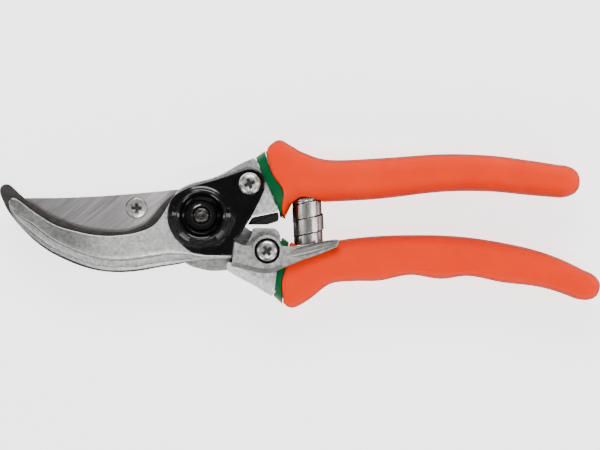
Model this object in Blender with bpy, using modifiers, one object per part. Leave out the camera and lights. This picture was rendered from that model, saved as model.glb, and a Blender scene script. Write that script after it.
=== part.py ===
"""Bypass pruning shears, lying flat on their back, closed and latched.

Two forged handles turn on one bolt. The lower handle carries the ground blade, the upper one runs on
as the hook with a counter blade behind it. A thumb catch, a volute spring and two dipped grips
complete them. +X runs along the handles, +Y towards the upper handle and +Z out of the front.
Sizes are in millimetres and the helpers turn them into metres. z = 0 is the back of the bolt's head.
"""

import math

import bmesh
import bpy
from mathutils import Matrix, Vector

MM = 0.001

# ---- Clearances
GAP = 0.3  # between pieces that touch
SWEEP_GAP = 0.5  # between a piece that swings past and its neighbour
CUTTER_REACH = 6.0  # how far a cutter stands beyond the solid

# ---- Overall sizes
JAW_REACH = 70.7  # pivot to the hook's tip
HANDLE_REACH = 139.6  # pivot to the end of the lower grip
GRIP_DEPTH = 17.0  # front to back over the grips
JAW_DRAWN = 70.7  # the reach that the jaw's outlines below are drawn at
JAW_ROOT = 12.0  # a longer jaw is stretched beyond this
JAW_STEPS = 5  # straight pieces between two points of the hook's back
HANDLE_DRAWN = 139.6  # the reach that the grips' sections below are drawn at
HANDLE_ROOT = 50.0  # a longer handle is stretched beyond this

# ---- Layers along the pivot, back to front
BOLT_HEAD_HEIGHT = 1.7
REAR_HUB_THICKNESS = 3.5
BLADE_THICKNESS = 2.6
HOOK_PLATE_THICKNESS = 2.0
HOOK_ARM_THICKNESS = 3.7
COVER_THICKNESS = 1.6
CATCH_THICKNESS = 2.4
BOSS_STEP = 0.5  # the catch's boss stands this far below the hook arm's face
BOSS_CHAMFER = ((9.5, -16.2), (29.0, -27.1))  # the line where the boss's lower edge starts to fall
BOSS_CHAMFER_SLOPE = 0.8

# ---- Pivot
SHANK_RADIUS = 4.0
STUD_RADIUS = 2.7
BOLT_HEAD_RADIUS = 6.8  # across the head's corners, halved
NUT_RADIUS = 5.1
NUT_SEAT = 1.6  # metal of the hook arm left under the nut
STUD_PROUD = 0.4  # the stud's end above the nut

# ---- Hubs around the pivot
REAR_HUB_RADIUS = 11.3
BLADE_HUB_RADIUS = 11.4
PLATE_HUB_RADIUS = 11.4
HUB_TOP_ANGLE = 128.0  # where the jaw's upper edges leave the hub, in degrees
HUB_LOW_ANGLE = -95.0  # where the counter blade's lower edge leaves it
COVER_SWEEP_RADIUS = 18.1  # the farthest corner of the hook side's hub that passes the boss
ARM_BLOCK_RADIUS = 19.9  # where the upper handle thickens behind its front layer
BLOCK_STEP = 0.4  # the thick part stands in this far from the front layer's edge

# ---- Cover plate
COVER_END = (16.8, 10.95)  # centre of its round upper end, and of its screw
COVER_END_RADIUS = 5.4
RING_OUTER_RADIUS = 10.2
RING_CREST_RADIUS = 7.6
RING_HEIGHT = 1.0

# ---- Screws
COVER_SCREW_RADIUS = 2.0
COVER_SCREW_HEAD_RADIUS = 3.9
COVER_SCREW_HEAD_HEIGHT = 2.0
BLADE_SCREW = (-22.9, 2.55)
BLADE_SCREW_RADIUS = 1.8
BLADE_SCREW_HEAD_RADIUS = 3.55
BLADE_SCREW_HEAD_HEIGHT = 1.8
BLADE_NOSE_RADIUS = 4.6  # the lower handle's nose behind the blade screw
RIVETS = ((-33.0, -11.3), (-50.0, -7.6))
RIVET_RADIUS = 1.5
RIVET_HEAD_RADIUS = 2.5
RIVET_HEAD_HEIGHT = 1.0
RIVET_DEPTH = 2.2  # how far a rivet reaches into the hook

# ---- Catch
CATCH_PIVOT = (22.9, -12.35)
CATCH_HUB_RADIUS = 5.4
CATCH_COLLAR_RADIUS = 4.1
CATCH_RECESS_RADIUS = 4.35
CATCH_RECESS_DEPTH = 1.4
CATCH_SCREW_RADIUS = 2.4
CATCH_SCREW_HEAD_RADIUS = 3.8
CATCH_SCREW_HEAD_HEIGHT = 1.5
CATCH_SCREW_FLOOR = 5.0  # depth left under the screw, from the back of the lower handle's hub
WASHER_THICKNESS = 0.5

# ---- Spring and its pegs
SPRING_TOP = (36.6, 6.2)
SPRING_BOTTOM = (37.3, -10.3)
SPRING_END_RADIUS = 5.1
SPRING_MIDDLE_RADIUS = 5.6
SPRING_BORE_RADIUS = 3.2
PEG_FLANGE_THICKNESS = 0.9
PEG_FLANGE_RADIUS = 4.6
PEG_ROOT_RADIUS = 2.6
PEG_TIP_RADIUS = 2.0
PEG_LENGTH = 4.5
PEG_STEM_RADIUS = 1.8
PEG_STEM_LENGTH = 4.0

# ---- Bumper
BUMPER_BACK = 6.0  # above the back of the shears
BUMPER_FRONT = 13.8
BUMPER_OUTLINE = [(17.8, -0.8), (26.3, 1.2), (26.5, -0.9), (26.2, -2.1), (22.6, -3.3), (17.0, -3.3)]

# ---- Grips, bands and the tangs inside them
TANG_DEPTH = 12.0
BAND_DEPTH = 14.4
GRIP_FRONT_DEPTH = 15.2
COAT = 2.2  # grip material over the tang's edges
BAND_COAT = 1.1
TANG_LEAD = 1.0  # how far the tang reaches into the bare handle
TANG_END_SHARE = 0.86  # the tang ends at this share of the grip's sections
GRIP_ROUNDNESS = 2.5
TANG_ROUNDNESS = 4.0
SECTION_POINTS = 20
GRIP_TAIL = 7.2  # length of the rounded end

# ---- Layer heights worked out from the sizes above
HUB_Z = BOLT_HEAD_HEIGHT + GAP
BLADE_Z = HUB_Z + REAR_HUB_THICKNESS + GAP
BLADE_TOP = BLADE_Z + BLADE_THICKNESS
PLATE_Z = BLADE_TOP + GAP
PLATE_TOP = PLATE_Z + HOOK_PLATE_THICKNESS
ARM_Z = PLATE_TOP + GAP
ARM_TOP = ARM_Z + HOOK_ARM_THICKNESS
COVER_Z = ARM_TOP + GAP
COVER_TOP = COVER_Z + COVER_THICKNESS
BOSS_TOP = ARM_TOP - BOSS_STEP
CATCH_Z = max(GRIP_DEPTH, COVER_TOP) + GAP
CATCH_TOP = CATCH_Z + CATCH_THICKNESS
GRIP_MIDDLE = GRIP_DEPTH / 2

# ---- Sections of the handles: (top, bottom) of the outline, front to tail
UPPER_BAND_FRONT = ((18.45, 20.2), (26.3, 3.0))
UPPER_SECTIONS = [
    ((22.2, 22.6), (28.7, -0.8)),
    ((24.5, 25.2), (30.0, 1.0)),
    ((27.4, 26.35), (31.2, 3.2)),
    ((31.2, 24.4), (33.6, 4.5)),
    ((36.0, 21.8), (37.5, 4.6)),
    ((44.8, 19.4), (44.8, 4.7)),
    ((62.3, 20.0), (62.3, 5.7)),
    ((83.3, 21.4), (83.3, 8.1)),
    ((100.0, 21.0), (100.0, 8.3)),
    ((114.0, 19.3), (114.0, 7.0)),
    ((125.0, 17.6), (125.0, 6.1)),
]
LOWER_BAND_FRONT = ((27.6, -7.7), (24.7, -28.5))
LOWER_SECTIONS = [
    ((30.7, -9.4), (28.4, -31.2)),
    ((32.6, -9.3), (32.0, -32.4)),
    ((36.0, -9.2), (37.8, -29.3)),
    ((44.8, -9.0), (44.8, -24.1)),
    ((53.0, -8.0), (53.0, -23.1)),
    ((62.3, -7.2), (62.3, -22.9)),
    ((72.8, -6.9), (72.8, -20.9)),
    ((83.3, -7.0), (83.3, -22.3)),
    ((94.0, -7.8), (93.4, -21.3)),
    ((106.5, -9.8), (105.0, -23.5)),
    ((117.5, -12.4), (115.5, -24.7)),
    ((126.0, -15.5), (123.0, -26.4)),
    ((133.6, -19.2), (130.6, -29.2)),
]

# ---- Outlines of the jaw, pivot to tip
HOOK_EDGE = [
    (-68.3, 10.9), (-64.0, 7.8), (-57.8, 3.2), (-49.0, -1.65), (-38.9, -4.8),
    (-29.0, -5.7), (-19.2, -3.0), (-14.7, 2.2), (-8.9, 8.0),
]
HOOK_BACK = [
    (-70.7, 8.3), (-67.9, 1.85), (-58.8, -8.6), (-49.7, -14.6), (-39.0, -18.6),
    (-28.7, -20.0), (-14.7, -18.1), (-5.0, -16.4),
]
ARM_EDGE = [
    (-65.8, 6.2), (-59.5, 1.85), (-51.8, -3.05), (-43.0, -5.85), (-32.2, -7.25),
    (-22.0, -5.85), (-16.4, -3.0), (-12.0, 3.1), (-7.7, 9.2),
]
ARM_BACK = [
    (-67.3, 4.3), (-65.2, -1.2), (-58.4, -8.1), (-49.4, -14.0), (-38.8, -18.0),
    (-28.6, -19.4), (-14.7, -17.5), (-4.2, -15.9), (3.0, -15.4), (10.5, -14.8),
]
ARM_RIDGE = [
    (-65.4, 4.3), (-62.4, -0.6), (-56.4, -5.9), (-48.4, -10.6), (-38.4, -14.9),
    (-28.4, -16.0), (-14.6, -13.8), (-4.2, -13.6), (3.0, -14.6), (10.3, -14.5),
]
RIDGE_DROP = 1.6  # how far the hook's chamfer falls to its outer edge
ARM_BROW = [(-7.7, 9.2), (-0.7, 12.0), (6.3, 14.1), (13.3, 17.9), UPPER_BAND_FRONT[0]]
ARM_CORNER = (26.5, 1.6)  # the front layer's lower corner, at the upper collar
BLADE_BACK = [(-66.4, 4.4), (-62.3, 6.05), (-49.7, 6.15), (-35.7, 6.75), (-21.7, 7.8), (-9.0, 9.1)]
BLADE_EDGE = [(-13.5, -4.0), (-20.0, -8.6), (-30.0, -10.6), (-42.0, -9.2), (-53.0, -4.8), (-61.5, 0.6),
              (-66.4, 4.4)]
BLADE_BEVEL = 3.0  # width of the ground bevel on the back of the cutting edge


# ---------------------------------------------------------------- scene

for old in list(bpy.data.objects):
    bpy.data.objects.remove(old)


def new_collection(name):
    """Make a collection of this name in the scene."""
    made = bpy.data.collections.new(name)
    bpy.context.scene.collection.children.link(made)
    return made


PARTS = new_collection("pruning_shears")
CUTTERS = new_collection("cutters")


def new_material(name, colour, roughness, metallic):
    """A Principled material with one colour."""
    made = bpy.data.materials.new(name)
    made.use_nodes = True
    shader = made.node_tree.nodes["Principled BSDF"]
    shader.inputs["Base Color"].default_value = (*colour, 1.0)
    shader.inputs["Roughness"].default_value = roughness
    shader.inputs["Metallic"].default_value = metallic
    return made


FORGED = new_material("forged_aluminium", (0.72, 0.73, 0.74), 0.35, 1.0)
BLADE_STEEL = new_material("blade_steel", (0.5, 0.5, 0.51), 0.3, 1.0)
DARK_STEEL = new_material("dark_steel", (0.07, 0.07, 0.08), 0.4, 1.0)
ZINC = new_material("zinc_plate", (0.82, 0.82, 0.83), 0.2, 1.0)
BLACK_PLATE = new_material("black_gloss", (0.01, 0.01, 0.012), 0.12, 0.0)
CAST = new_material("cast_catch", (0.68, 0.69, 0.7), 0.45, 1.0)
CHROME = new_material("spring_chrome", (0.8, 0.8, 0.82), 0.1, 1.0)
RUBBER = new_material("black_rubber", (0.02, 0.02, 0.02), 0.8, 0.0)
GREEN = new_material("green_dip", (0.01, 0.13, 0.05), 0.45, 0.0)
ORANGE = new_material("orange_dip", (0.95, 0.13, 0.02), 0.45, 0.0)


# ---------------------------------------------------------------- outlines

def arc(centre, radius, start, end, steps=10):
    """Points along an arc, from start to end in degrees."""
    points = []
    for i in range(steps + 1):
        angle = math.radians(start + (end - start) * i / steps)
        points.append((centre[0] + radius * math.cos(angle), centre[1] + radius * math.sin(angle)))
    return points


def smooth(points, steps=3):
    """A Catmull-Rom curve through the points, with steps pieces between each pair."""
    padded = [points[0], *points, points[-1]]
    curve = []
    for before, here, after, beyond in zip(padded, padded[1:], padded[2:], padded[3:]):
        for i in range(steps):
            t = i / steps
            curve.append(tuple(
                0.5 * (2 * h + (a - b) * t + (2 * b - 5 * h + 4 * a - y) * t * t
                       + (3 * h - b - 3 * a + y) * t ** 3)
                for b, h, a, y in zip(before, here, after, beyond)))
    curve.append(tuple(points[-1]))
    return curve


def along_jaw(points):
    """Stretch an outline beyond the hub to the jaw's real reach."""
    share = (JAW_REACH - JAW_ROOT) / (JAW_DRAWN - JAW_ROOT)
    return [(-JAW_ROOT + (x + JAW_ROOT) * share, y) if x < -JAW_ROOT else (x, y) for x, y in points]


def along_handle(sections):
    """Stretch the handle's sections beyond the spring to the real reach."""
    share = (HANDLE_REACH - GRIP_TAIL - HANDLE_ROOT) / (HANDLE_DRAWN - GRIP_TAIL - HANDLE_ROOT)
    return [tuple((HANDLE_ROOT + (x - HANDLE_ROOT) * share, y) if x > HANDLE_ROOT else (x, y)
                  for x, y in section) for section in sections]


# ---------------------------------------------------------------- solids

def add_object(name, mesh, material=None):
    """Link a mesh as a part, or as a hidden cutter when it has no material."""
    made = bpy.data.objects.new(name, mesh)
    if material is None:
        CUTTERS.objects.link(made)
        made.hide_render = True
        made.display_type = "WIRE"
    else:
        PARTS.objects.link(made)
        mesh.materials.append(material)
    return made


def extruded(name, points, bottom, top, material=None):
    """A flat outline as a filled 2D curve, extruded from bottom to top and made a mesh."""
    curve = bpy.data.curves.new(name, "CURVE")
    curve.dimensions = "2D"
    curve.fill_mode = "BOTH"
    curve.extrude = (top - bottom) / 2 * MM
    spline = curve.splines.new("POLY")
    spline.points.add(len(points) - 1)
    for point, (x, y) in zip(spline.points, points):
        point.co = (x * MM, y * MM, 0.0, 1.0)
    spline.use_cyclic_u = True
    holder = bpy.data.objects.new(name + "_curve", curve)
    bpy.context.scene.collection.objects.link(holder)
    bpy.context.view_layer.update()
    mesh = bpy.data.meshes.new_from_object(holder.evaluated_get(bpy.context.evaluated_depsgraph_get()))
    bpy.data.objects.remove(holder)
    shaped = bmesh.new()
    shaped.from_mesh(mesh)
    bmesh.ops.remove_doubles(shaped, verts=shaped.verts, dist=0.00001)
    bmesh.ops.translate(shaped, verts=shaped.verts, vec=(0, 0, (top + bottom) / 2 * MM))
    bmesh.ops.recalc_face_normals(shaped, faces=shaped.faces)
    shaped.to_mesh(mesh)
    shaped.free()
    mesh.name = name
    return add_object(name, mesh, material)


def lofted(name, rings, material=None):
    """A closed solid through rings of 3D points in millimetres, each with the same number."""
    shaped = bmesh.new()
    rows = [[shaped.verts.new(Vector(point) * MM) for point in ring] for ring in rings]
    for row, following in zip(rows, rows[1:]):
        for i in range(len(row)):
            j = (i + 1) % len(row)
            shaped.faces.new((row[i], row[j], following[j], following[i]))
    shaped.faces.new(rows[0])
    shaped.faces.new(rows[-1])
    bmesh.ops.recalc_face_normals(shaped, faces=shaped.faces)
    mesh = bpy.data.meshes.new(name)
    shaped.to_mesh(mesh)
    shaped.free()
    return add_object(name, mesh, material)


def cylinder(name, centre, radius, bottom, top, material=None, sides=32, top_radius=None):
    """A cylinder or cone standing along Z."""
    shaped = bmesh.new()
    bmesh.ops.create_cone(
        shaped, cap_ends=True, segments=sides, radius1=radius * MM,
        radius2=(radius if top_radius is None else top_radius) * MM, depth=(top - bottom) * MM)
    mesh = bpy.data.meshes.new(name)
    shaped.to_mesh(mesh)
    shaped.free()
    made = add_object(name, mesh, material)
    made.location = (centre[0] * MM, centre[1] * MM, (top + bottom) / 2 * MM)
    return made


def turned(name, profile, centre, material=None, steps=32):
    """A profile of (radius, height), listed down its outer side, turned about an upright axis.

    It is closed into a ring, unless it starts and ends on the axis.
    """
    mesh = bpy.data.meshes.new(name)
    points = [(radius * MM, 0.0, height * MM) for radius, height in profile]
    edges = [(i, i + 1) for i in range(len(points) - 1)]
    if profile[0][0] > 0:
        edges.append((len(points) - 1, 0))
    mesh.from_pydata(points, edges, [])
    made = add_object(name, mesh, material)
    made.location = (centre[0] * MM, centre[1] * MM, 0.0)
    screw = made.modifiers.new("turn", "SCREW")
    screw.steps = steps
    screw.render_steps = steps
    screw.use_merge_vertices = True
    screw.merge_threshold = 0.00001
    return made


def boolean(target, tool, operation):
    """Add an exact Boolean modifier."""
    made = target.modifiers.new(tool.name, "BOOLEAN")
    made.operation = operation
    made.object = tool
    made.solver = "EXACT"


def cut(target, tool):
    """Take the tool's solid out of the target."""
    boolean(target, tool, "DIFFERENCE")


def join(target, tool):
    """Add the tool's solid to the target."""
    boolean(target, tool, "UNION")


def cross_recess(name, centre, head_radius, top, depth):
    """Cut a cross slot into a screw head that ends at this height."""
    for turn in (25, 115):
        bar = extruded(f"{name}_slot_{turn}", [(-0.55 * head_radius, -0.55), (0.55 * head_radius, -0.55),
                                               (0.55 * head_radius, 0.55), (-0.55 * head_radius, 0.55)],
                       top - depth, top + 1.0)
        bar.rotation_euler[2] = math.radians(turn)
        bar.location = (centre[0] * MM, centre[1] * MM, 0.0)
        cut(bpy.data.objects[name], bar)


# ---------------------------------------------------------------- handles

def section_ring(section, depth, roundness, scale=1.0):
    """A rounded section whose plane stands on the line from top to bottom of the outline."""
    top, bottom = section
    middle = ((top[0] + bottom[0]) / 2, (top[1] + bottom[1]) / 2)
    half = ((top[0] - bottom[0]) / 2 * scale, (top[1] - bottom[1]) / 2 * scale)
    ring = []
    for i in range(SECTION_POINTS):
        angle = 2 * math.pi * i / SECTION_POINTS
        across = math.copysign(abs(math.cos(angle)) ** (2 / roundness), math.cos(angle))
        out = math.copysign(abs(math.sin(angle)) ** (2 / roundness), math.sin(angle))
        ring.append((middle[0] + half[0] * across, middle[1] + half[1] * across,
                     GRIP_MIDDLE + depth / 2 * scale * out))
    return ring


def drawn_in(section, wall):
    """The section with its top and bottom moved in by a wall."""
    top, bottom = Vector(section[0]), Vector(section[1])
    step = (bottom - top).normalized() * wall
    return (tuple(top + step), tuple(bottom - step))


def moved_on(section, distance):
    """The section moved along the handle, square to its own plane."""
    top, bottom = Vector(section[0]), Vector(section[1])
    along = Vector((top.y - bottom.y, bottom.x - top.x)).normalized() * distance
    return (tuple(top + along), tuple(bottom + along))


def between(first, second, share):
    """A section part of the way from one to another."""
    return tuple(tuple(a + (b - a) * share for a, b in zip(p, q)) for p, q in zip(first, second))


def fine_sections(sections):
    """Twice as many sections, on smooth curves through the given ones."""
    tops = smooth([top for top, _ in sections], 2)
    bottoms = smooth([bottom for _, bottom in sections], 2)
    return list(zip(tops, bottoms))


def grip_solid(name, sections, material):
    """The grip's outside: full sections, then a rounded end."""
    rings = []
    fine = fine_sections(sections)
    for i, section in enumerate(fine):
        growth = min(1.0, i / 4)
        depth = GRIP_FRONT_DEPTH + (GRIP_DEPTH - GRIP_FRONT_DEPTH) * growth
        rings.append(section_ring(section, depth, GRIP_ROUNDNESS))
    for turn in (25, 45, 62, 76, 85):
        tail = moved_on(fine[-1], GRIP_TAIL * math.sin(math.radians(turn)))
        rings.append(section_ring(tail, GRIP_DEPTH, GRIP_ROUNDNESS, math.cos(math.radians(turn)) ** 0.8))
    return lofted(name, rings, material)


def tang_solid(name, band_front, sections, clearance, lead):
    """The tang, or with a clearance the cavity that it sits in. It starts lead before the band."""
    inner = [drawn_in(band_front, BAND_COAT - clearance)]
    inner += [drawn_in(section, COAT - clearance) for section in fine_sections(sections)]
    last = max(3, round(TANG_END_SHARE * len(inner)))
    inner = [moved_on(inner[0], -lead)] + inner[:last]
    inner[-1] = moved_on(inner[-1], clearance)
    depth = TANG_DEPTH + 2 * clearance
    return lofted(name, [section_ring(section, depth, TANG_ROUNDNESS) for section in inner])


def band_solid(name, front, grip_front, material):
    """The collar of the first dip, between the bare handle and the grip."""
    back = moved_on(grip_front, -GAP)
    middle = between(front, back, 0.5)
    rings = [section_ring(section, BAND_DEPTH, GRIP_ROUNDNESS) for section in (front, middle, back)]
    return lofted(name, rings, material)


upper_sections = along_handle(UPPER_SECTIONS)
lower_sections = along_handle(LOWER_SECTIONS)
upper_band_face = moved_on(UPPER_BAND_FRONT, GAP)
lower_band_face = moved_on(LOWER_BAND_FRONT, GAP)


# ---------------------------------------------------------------- pieces on the lower handle

def make_pivot_bolt():
    """Hexagon head, shank and threaded end."""
    top = COVER_TOP + GAP + STUD_PROUD
    shoulder = ARM_Z + NUT_SEAT - GAP
    bolt = cylinder("pivot_bolt", (0, 0), BOLT_HEAD_RADIUS, 0.0, BOLT_HEAD_HEIGHT, DARK_STEEL, sides=6)
    join(bolt, cylinder("bolt_shank", (0, 0), SHANK_RADIUS, BOLT_HEAD_HEIGHT / 2, shoulder))
    join(bolt, cylinder("bolt_stud", (0, 0), STUD_RADIUS, shoulder - 1.0, top))
    return bolt


def chamfer_wedge():
    """The wedge that falls away from the chamfer's line over the boss's lower edge."""
    start, end = Vector(BOSS_CHAMFER[0]), Vector(BOSS_CHAMFER[1])
    along = (end - start).normalized()
    away = Vector((along.y, -along.x))
    rings = []
    for corner in (start, end):
        near, far = corner - away, corner + away * CUTTER_REACH
        rings.append([(*near, BOSS_TOP + BOSS_CHAMFER_SLOPE), (*near, BOSS_TOP + CUTTER_REACH),
                      (*far, BOSS_TOP + CUTTER_REACH), (*far, BOSS_TOP - CUTTER_REACH * BOSS_CHAMFER_SLOPE)])
    return lofted("boss_chamfer", rings)


def make_blade_arm():
    """The lower handle: a thin rear hub with its nose, the catch's boss and the tang."""
    nose = arc(BLADE_SCREW, BLADE_NOSE_RADIUS, 100, 250)
    hub_top = arc((0, 0), REAR_HUB_RADIUS, -5, 125, 12)
    boss_top = [(26.9, -5.6), (25.3, -4.4), (17.9, -4.3)]
    belly = smooth([(-14.0, -9.5), (-8.6, -14.8), (-2.0, -18.4), (3.5, -19.5), (8.6, -19.6),
                    (14.5, -22.6), LOWER_BAND_FRONT[1]])
    rear = extruded("blade_arm", hub_top + nose + belly + [LOWER_BAND_FRONT[0]] + boss_top,
                    HUB_Z, HUB_Z + REAR_HUB_THICKNESS, FORGED)
    radius = COVER_SWEEP_RADIUS + SWEEP_GAP
    edge = smooth([(8.6, -19.6), (14.5, -22.6), LOWER_BAND_FRONT[1]])
    front = extruded("boss_block", arc((0, 0), radius, -13.4, -64) + edge + [LOWER_BAND_FRONT[0]] + boss_top,
                     HUB_Z, BOSS_TOP)
    join(rear, front)
    cut(rear, chamfer_wedge())
    join(rear, tang_solid("lower_tang", LOWER_BAND_FRONT, lower_sections, 0.0, TANG_LEAD))
    cut(rear, cylinder("rear_hub_bore", (0, 0), SHANK_RADIUS + GAP, HUB_Z - 1, BOSS_TOP))
    cut(rear, cylinder("blade_screw_hole", BLADE_SCREW, BLADE_SCREW_RADIUS + GAP, HUB_Z - 1, BLADE_Z))
    cut(rear, cylinder("catch_screw_hole", CATCH_PIVOT, CATCH_SCREW_RADIUS + GAP,
                       CATCH_SCREW_FLOOR - GAP, BOSS_TOP + 1))
    cut(rear, peg_socket("lower_peg_socket", SPRING_BOTTOM, 1))
    return rear


def make_blade():
    """The ground blade: full outline on its front, the cutting edge drawn back on its rear."""
    back = along_jaw(smooth(BLADE_BACK))
    edge = along_jaw(smooth(BLADE_EDGE))
    hub = arc((0, 0), BLADE_HUB_RADIUS, HUB_TOP_ANGLE, -155, 20)
    front = back[:-1] + hub + edge[:-1]
    ground = []
    for i, (x, y) in enumerate(front):
        in_edge = i >= len(front) - len(edge) + 2
        ground.append((x, y + BLADE_BEVEL) if in_edge and i > 0 else (x, y))
    rings = [[(x, y, BLADE_Z) for x, y in ground]]
    rings.append([(x, y, BLADE_Z + BLADE_THICKNESS * 0.8) for x, y in front])
    rings.append([(x, y, BLADE_TOP) for x, y in front])
    blade = lofted("blade", rings, BLADE_STEEL)
    cut(blade, cylinder("blade_bore", (0, 0), SHANK_RADIUS + GAP, BLADE_Z - 1, BLADE_TOP + 1))
    cut(blade, cylinder("blade_screw_clearance", BLADE_SCREW, BLADE_SCREW_RADIUS + GAP, BLADE_Z - 1, BLADE_TOP))
    cut(blade, cylinder("blade_countersink", BLADE_SCREW, BLADE_SCREW_RADIUS + GAP,
                        BLADE_TOP - BLADE_SCREW_HEAD_HEIGHT - GAP, BLADE_TOP + GAP,
                        top_radius=BLADE_SCREW_HEAD_RADIUS + 2 * GAP))
    return blade


def make_blade_screw():
    """Countersunk screw, flush with the blade's front."""
    neck = BLADE_TOP - BLADE_SCREW_HEAD_HEIGHT
    screw = cylinder("blade_screw", BLADE_SCREW, BLADE_SCREW_RADIUS, HUB_Z, neck + 0.2, ZINC)
    join(screw, cylinder("blade_screw_head", BLADE_SCREW, BLADE_SCREW_RADIUS - 0.05, neck, BLADE_TOP,
                         top_radius=BLADE_SCREW_HEAD_RADIUS))
    cross_recess("blade_screw", BLADE_SCREW, BLADE_SCREW_HEAD_RADIUS, BLADE_TOP, 1.0)
    return screw


def peg_axis():
    """Unit vector from the spring's lower end to its upper end."""
    return (Vector(SPRING_TOP) - Vector(SPRING_BOTTOM)).normalized()


def along_spring(made, seat, away):
    """Turn an upright piece onto the spring's axis, its z = 0 at the seat, pointing up or down it."""
    axis = peg_axis() * away
    direction = Vector((axis.x, axis.y, 0.0))
    turn = direction.to_track_quat("Z", "Y").to_matrix().to_4x4()
    made.matrix_world = Matrix.Translation(Vector((seat[0], seat[1], GRIP_MIDDLE)) * MM) @ turn
    return made


def peg_socket(name, seat, away):
    """The blind hole in a tang for a peg's stem and flange, with a wide mouth that clears the spring."""
    flange = PEG_FLANGE_THICKNESS + 2 * GAP
    mouth = SPRING_MIDDLE_RADIUS + GAP
    profile = [(0.0, mouth), (mouth, mouth), (mouth, -GAP), (PEG_FLANGE_RADIUS + GAP, -GAP),
               (PEG_FLANGE_RADIUS + GAP, -flange), (PEG_STEM_RADIUS + GAP, -flange),
               (PEG_STEM_RADIUS + GAP, -flange - PEG_STEM_LENGTH), (0.0, -flange - PEG_STEM_LENGTH)]
    return along_spring(turned(name, profile, (0, 0), steps=24), seat, away)


def spring_recess(name, seat, away):
    """The round seat in a grip, down to the peg's flange."""
    radius = SPRING_MIDDLE_RADIUS + SWEEP_GAP
    depth = PEG_FLANGE_THICKNESS + 2 * GAP
    profile = [(0.0, 20.0), (radius, 20.0), (radius, -depth - COAT), (0.0, -depth - COAT)]
    return along_spring(turned(name, profile, (0, 0), steps=24), seat, away)


def make_peg(name, seat, away):
    """A flanged peg: stem in the handle, cone inside the spring's end."""
    base = -GAP - PEG_FLANGE_THICKNESS
    profile = [(0.0, PEG_LENGTH), (PEG_TIP_RADIUS, PEG_LENGTH), (PEG_ROOT_RADIUS, -GAP),
               (PEG_FLANGE_RADIUS, -GAP), (PEG_FLANGE_RADIUS, base), (PEG_STEM_RADIUS, base),
               (PEG_STEM_RADIUS, base - PEG_STEM_LENGTH), (0.0, base - PEG_STEM_LENGTH)]
    return along_spring(turned(name, profile, (0, 0), ZINC, steps=24), seat, away)


def make_spring():
    """The volute spring's envelope: a barrel with a bore, wider in the middle."""
    length = (Vector(SPRING_TOP) - Vector(SPRING_BOTTOM)).length
    profile = [(SPRING_BORE_RADIUS, length), (SPRING_END_RADIUS, length),
               (SPRING_END_RADIUS, length * 0.62), (SPRING_MIDDLE_RADIUS, length * 0.6),
               (SPRING_MIDDLE_RADIUS, length * 0.4), (SPRING_END_RADIUS, length * 0.38),
               (SPRING_END_RADIUS, 0.0), (SPRING_BORE_RADIUS, 0.0)]
    return along_spring(turned("volute_spring", profile, (0, 0), CHROME), SPRING_BOTTOM, 1)


# ---------------------------------------------------------------- pieces on the upper handle

def make_hook_plate():
    """The counter blade: the hook's outline, and a ring around the pivot."""
    hub = arc((0, 0), PLATE_HUB_RADIUS, HUB_TOP_ANGLE, HUB_LOW_ANGLE, 20)
    outline = along_jaw(smooth(HOOK_EDGE))[:-1] + hub + along_jaw(smooth(HOOK_BACK[::-1], JAW_STEPS))
    plate = extruded("hook_plate", outline, PLATE_Z, PLATE_TOP, DARK_STEEL)
    cut(plate, cylinder("plate_bore", (0, 0), SHANK_RADIUS + GAP, PLATE_Z - 1, PLATE_TOP + 1))
    for number, place in enumerate(along_jaw(RIVETS), 1):
        cut(plate, cylinder(f"plate_rivet_{number}", place, RIVET_RADIUS + GAP, PLATE_Z - 1, PLATE_TOP + 1))
        cut(plate, cylinder(f"plate_sink_{number}", place, RIVET_HEAD_RADIUS + GAP, PLATE_Z - 1,
                            PLATE_Z + RIVET_HEAD_HEIGHT + GAP))
    return plate


def make_rivet(number, place):
    """A flat-headed rivet from the counter blade's back into the hook."""
    name = f"hook_rivet_{number}"
    rivet = cylinder(name, place, RIVET_HEAD_RADIUS, PLATE_Z, PLATE_Z + RIVET_HEAD_HEIGHT, ZINC, sides=24)
    join(rivet, cylinder(name + "_shank", place, RIVET_RADIUS, PLATE_Z + RIVET_HEAD_HEIGHT / 2,
                         ARM_Z + RIVET_DEPTH, sides=24))
    return rivet


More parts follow.
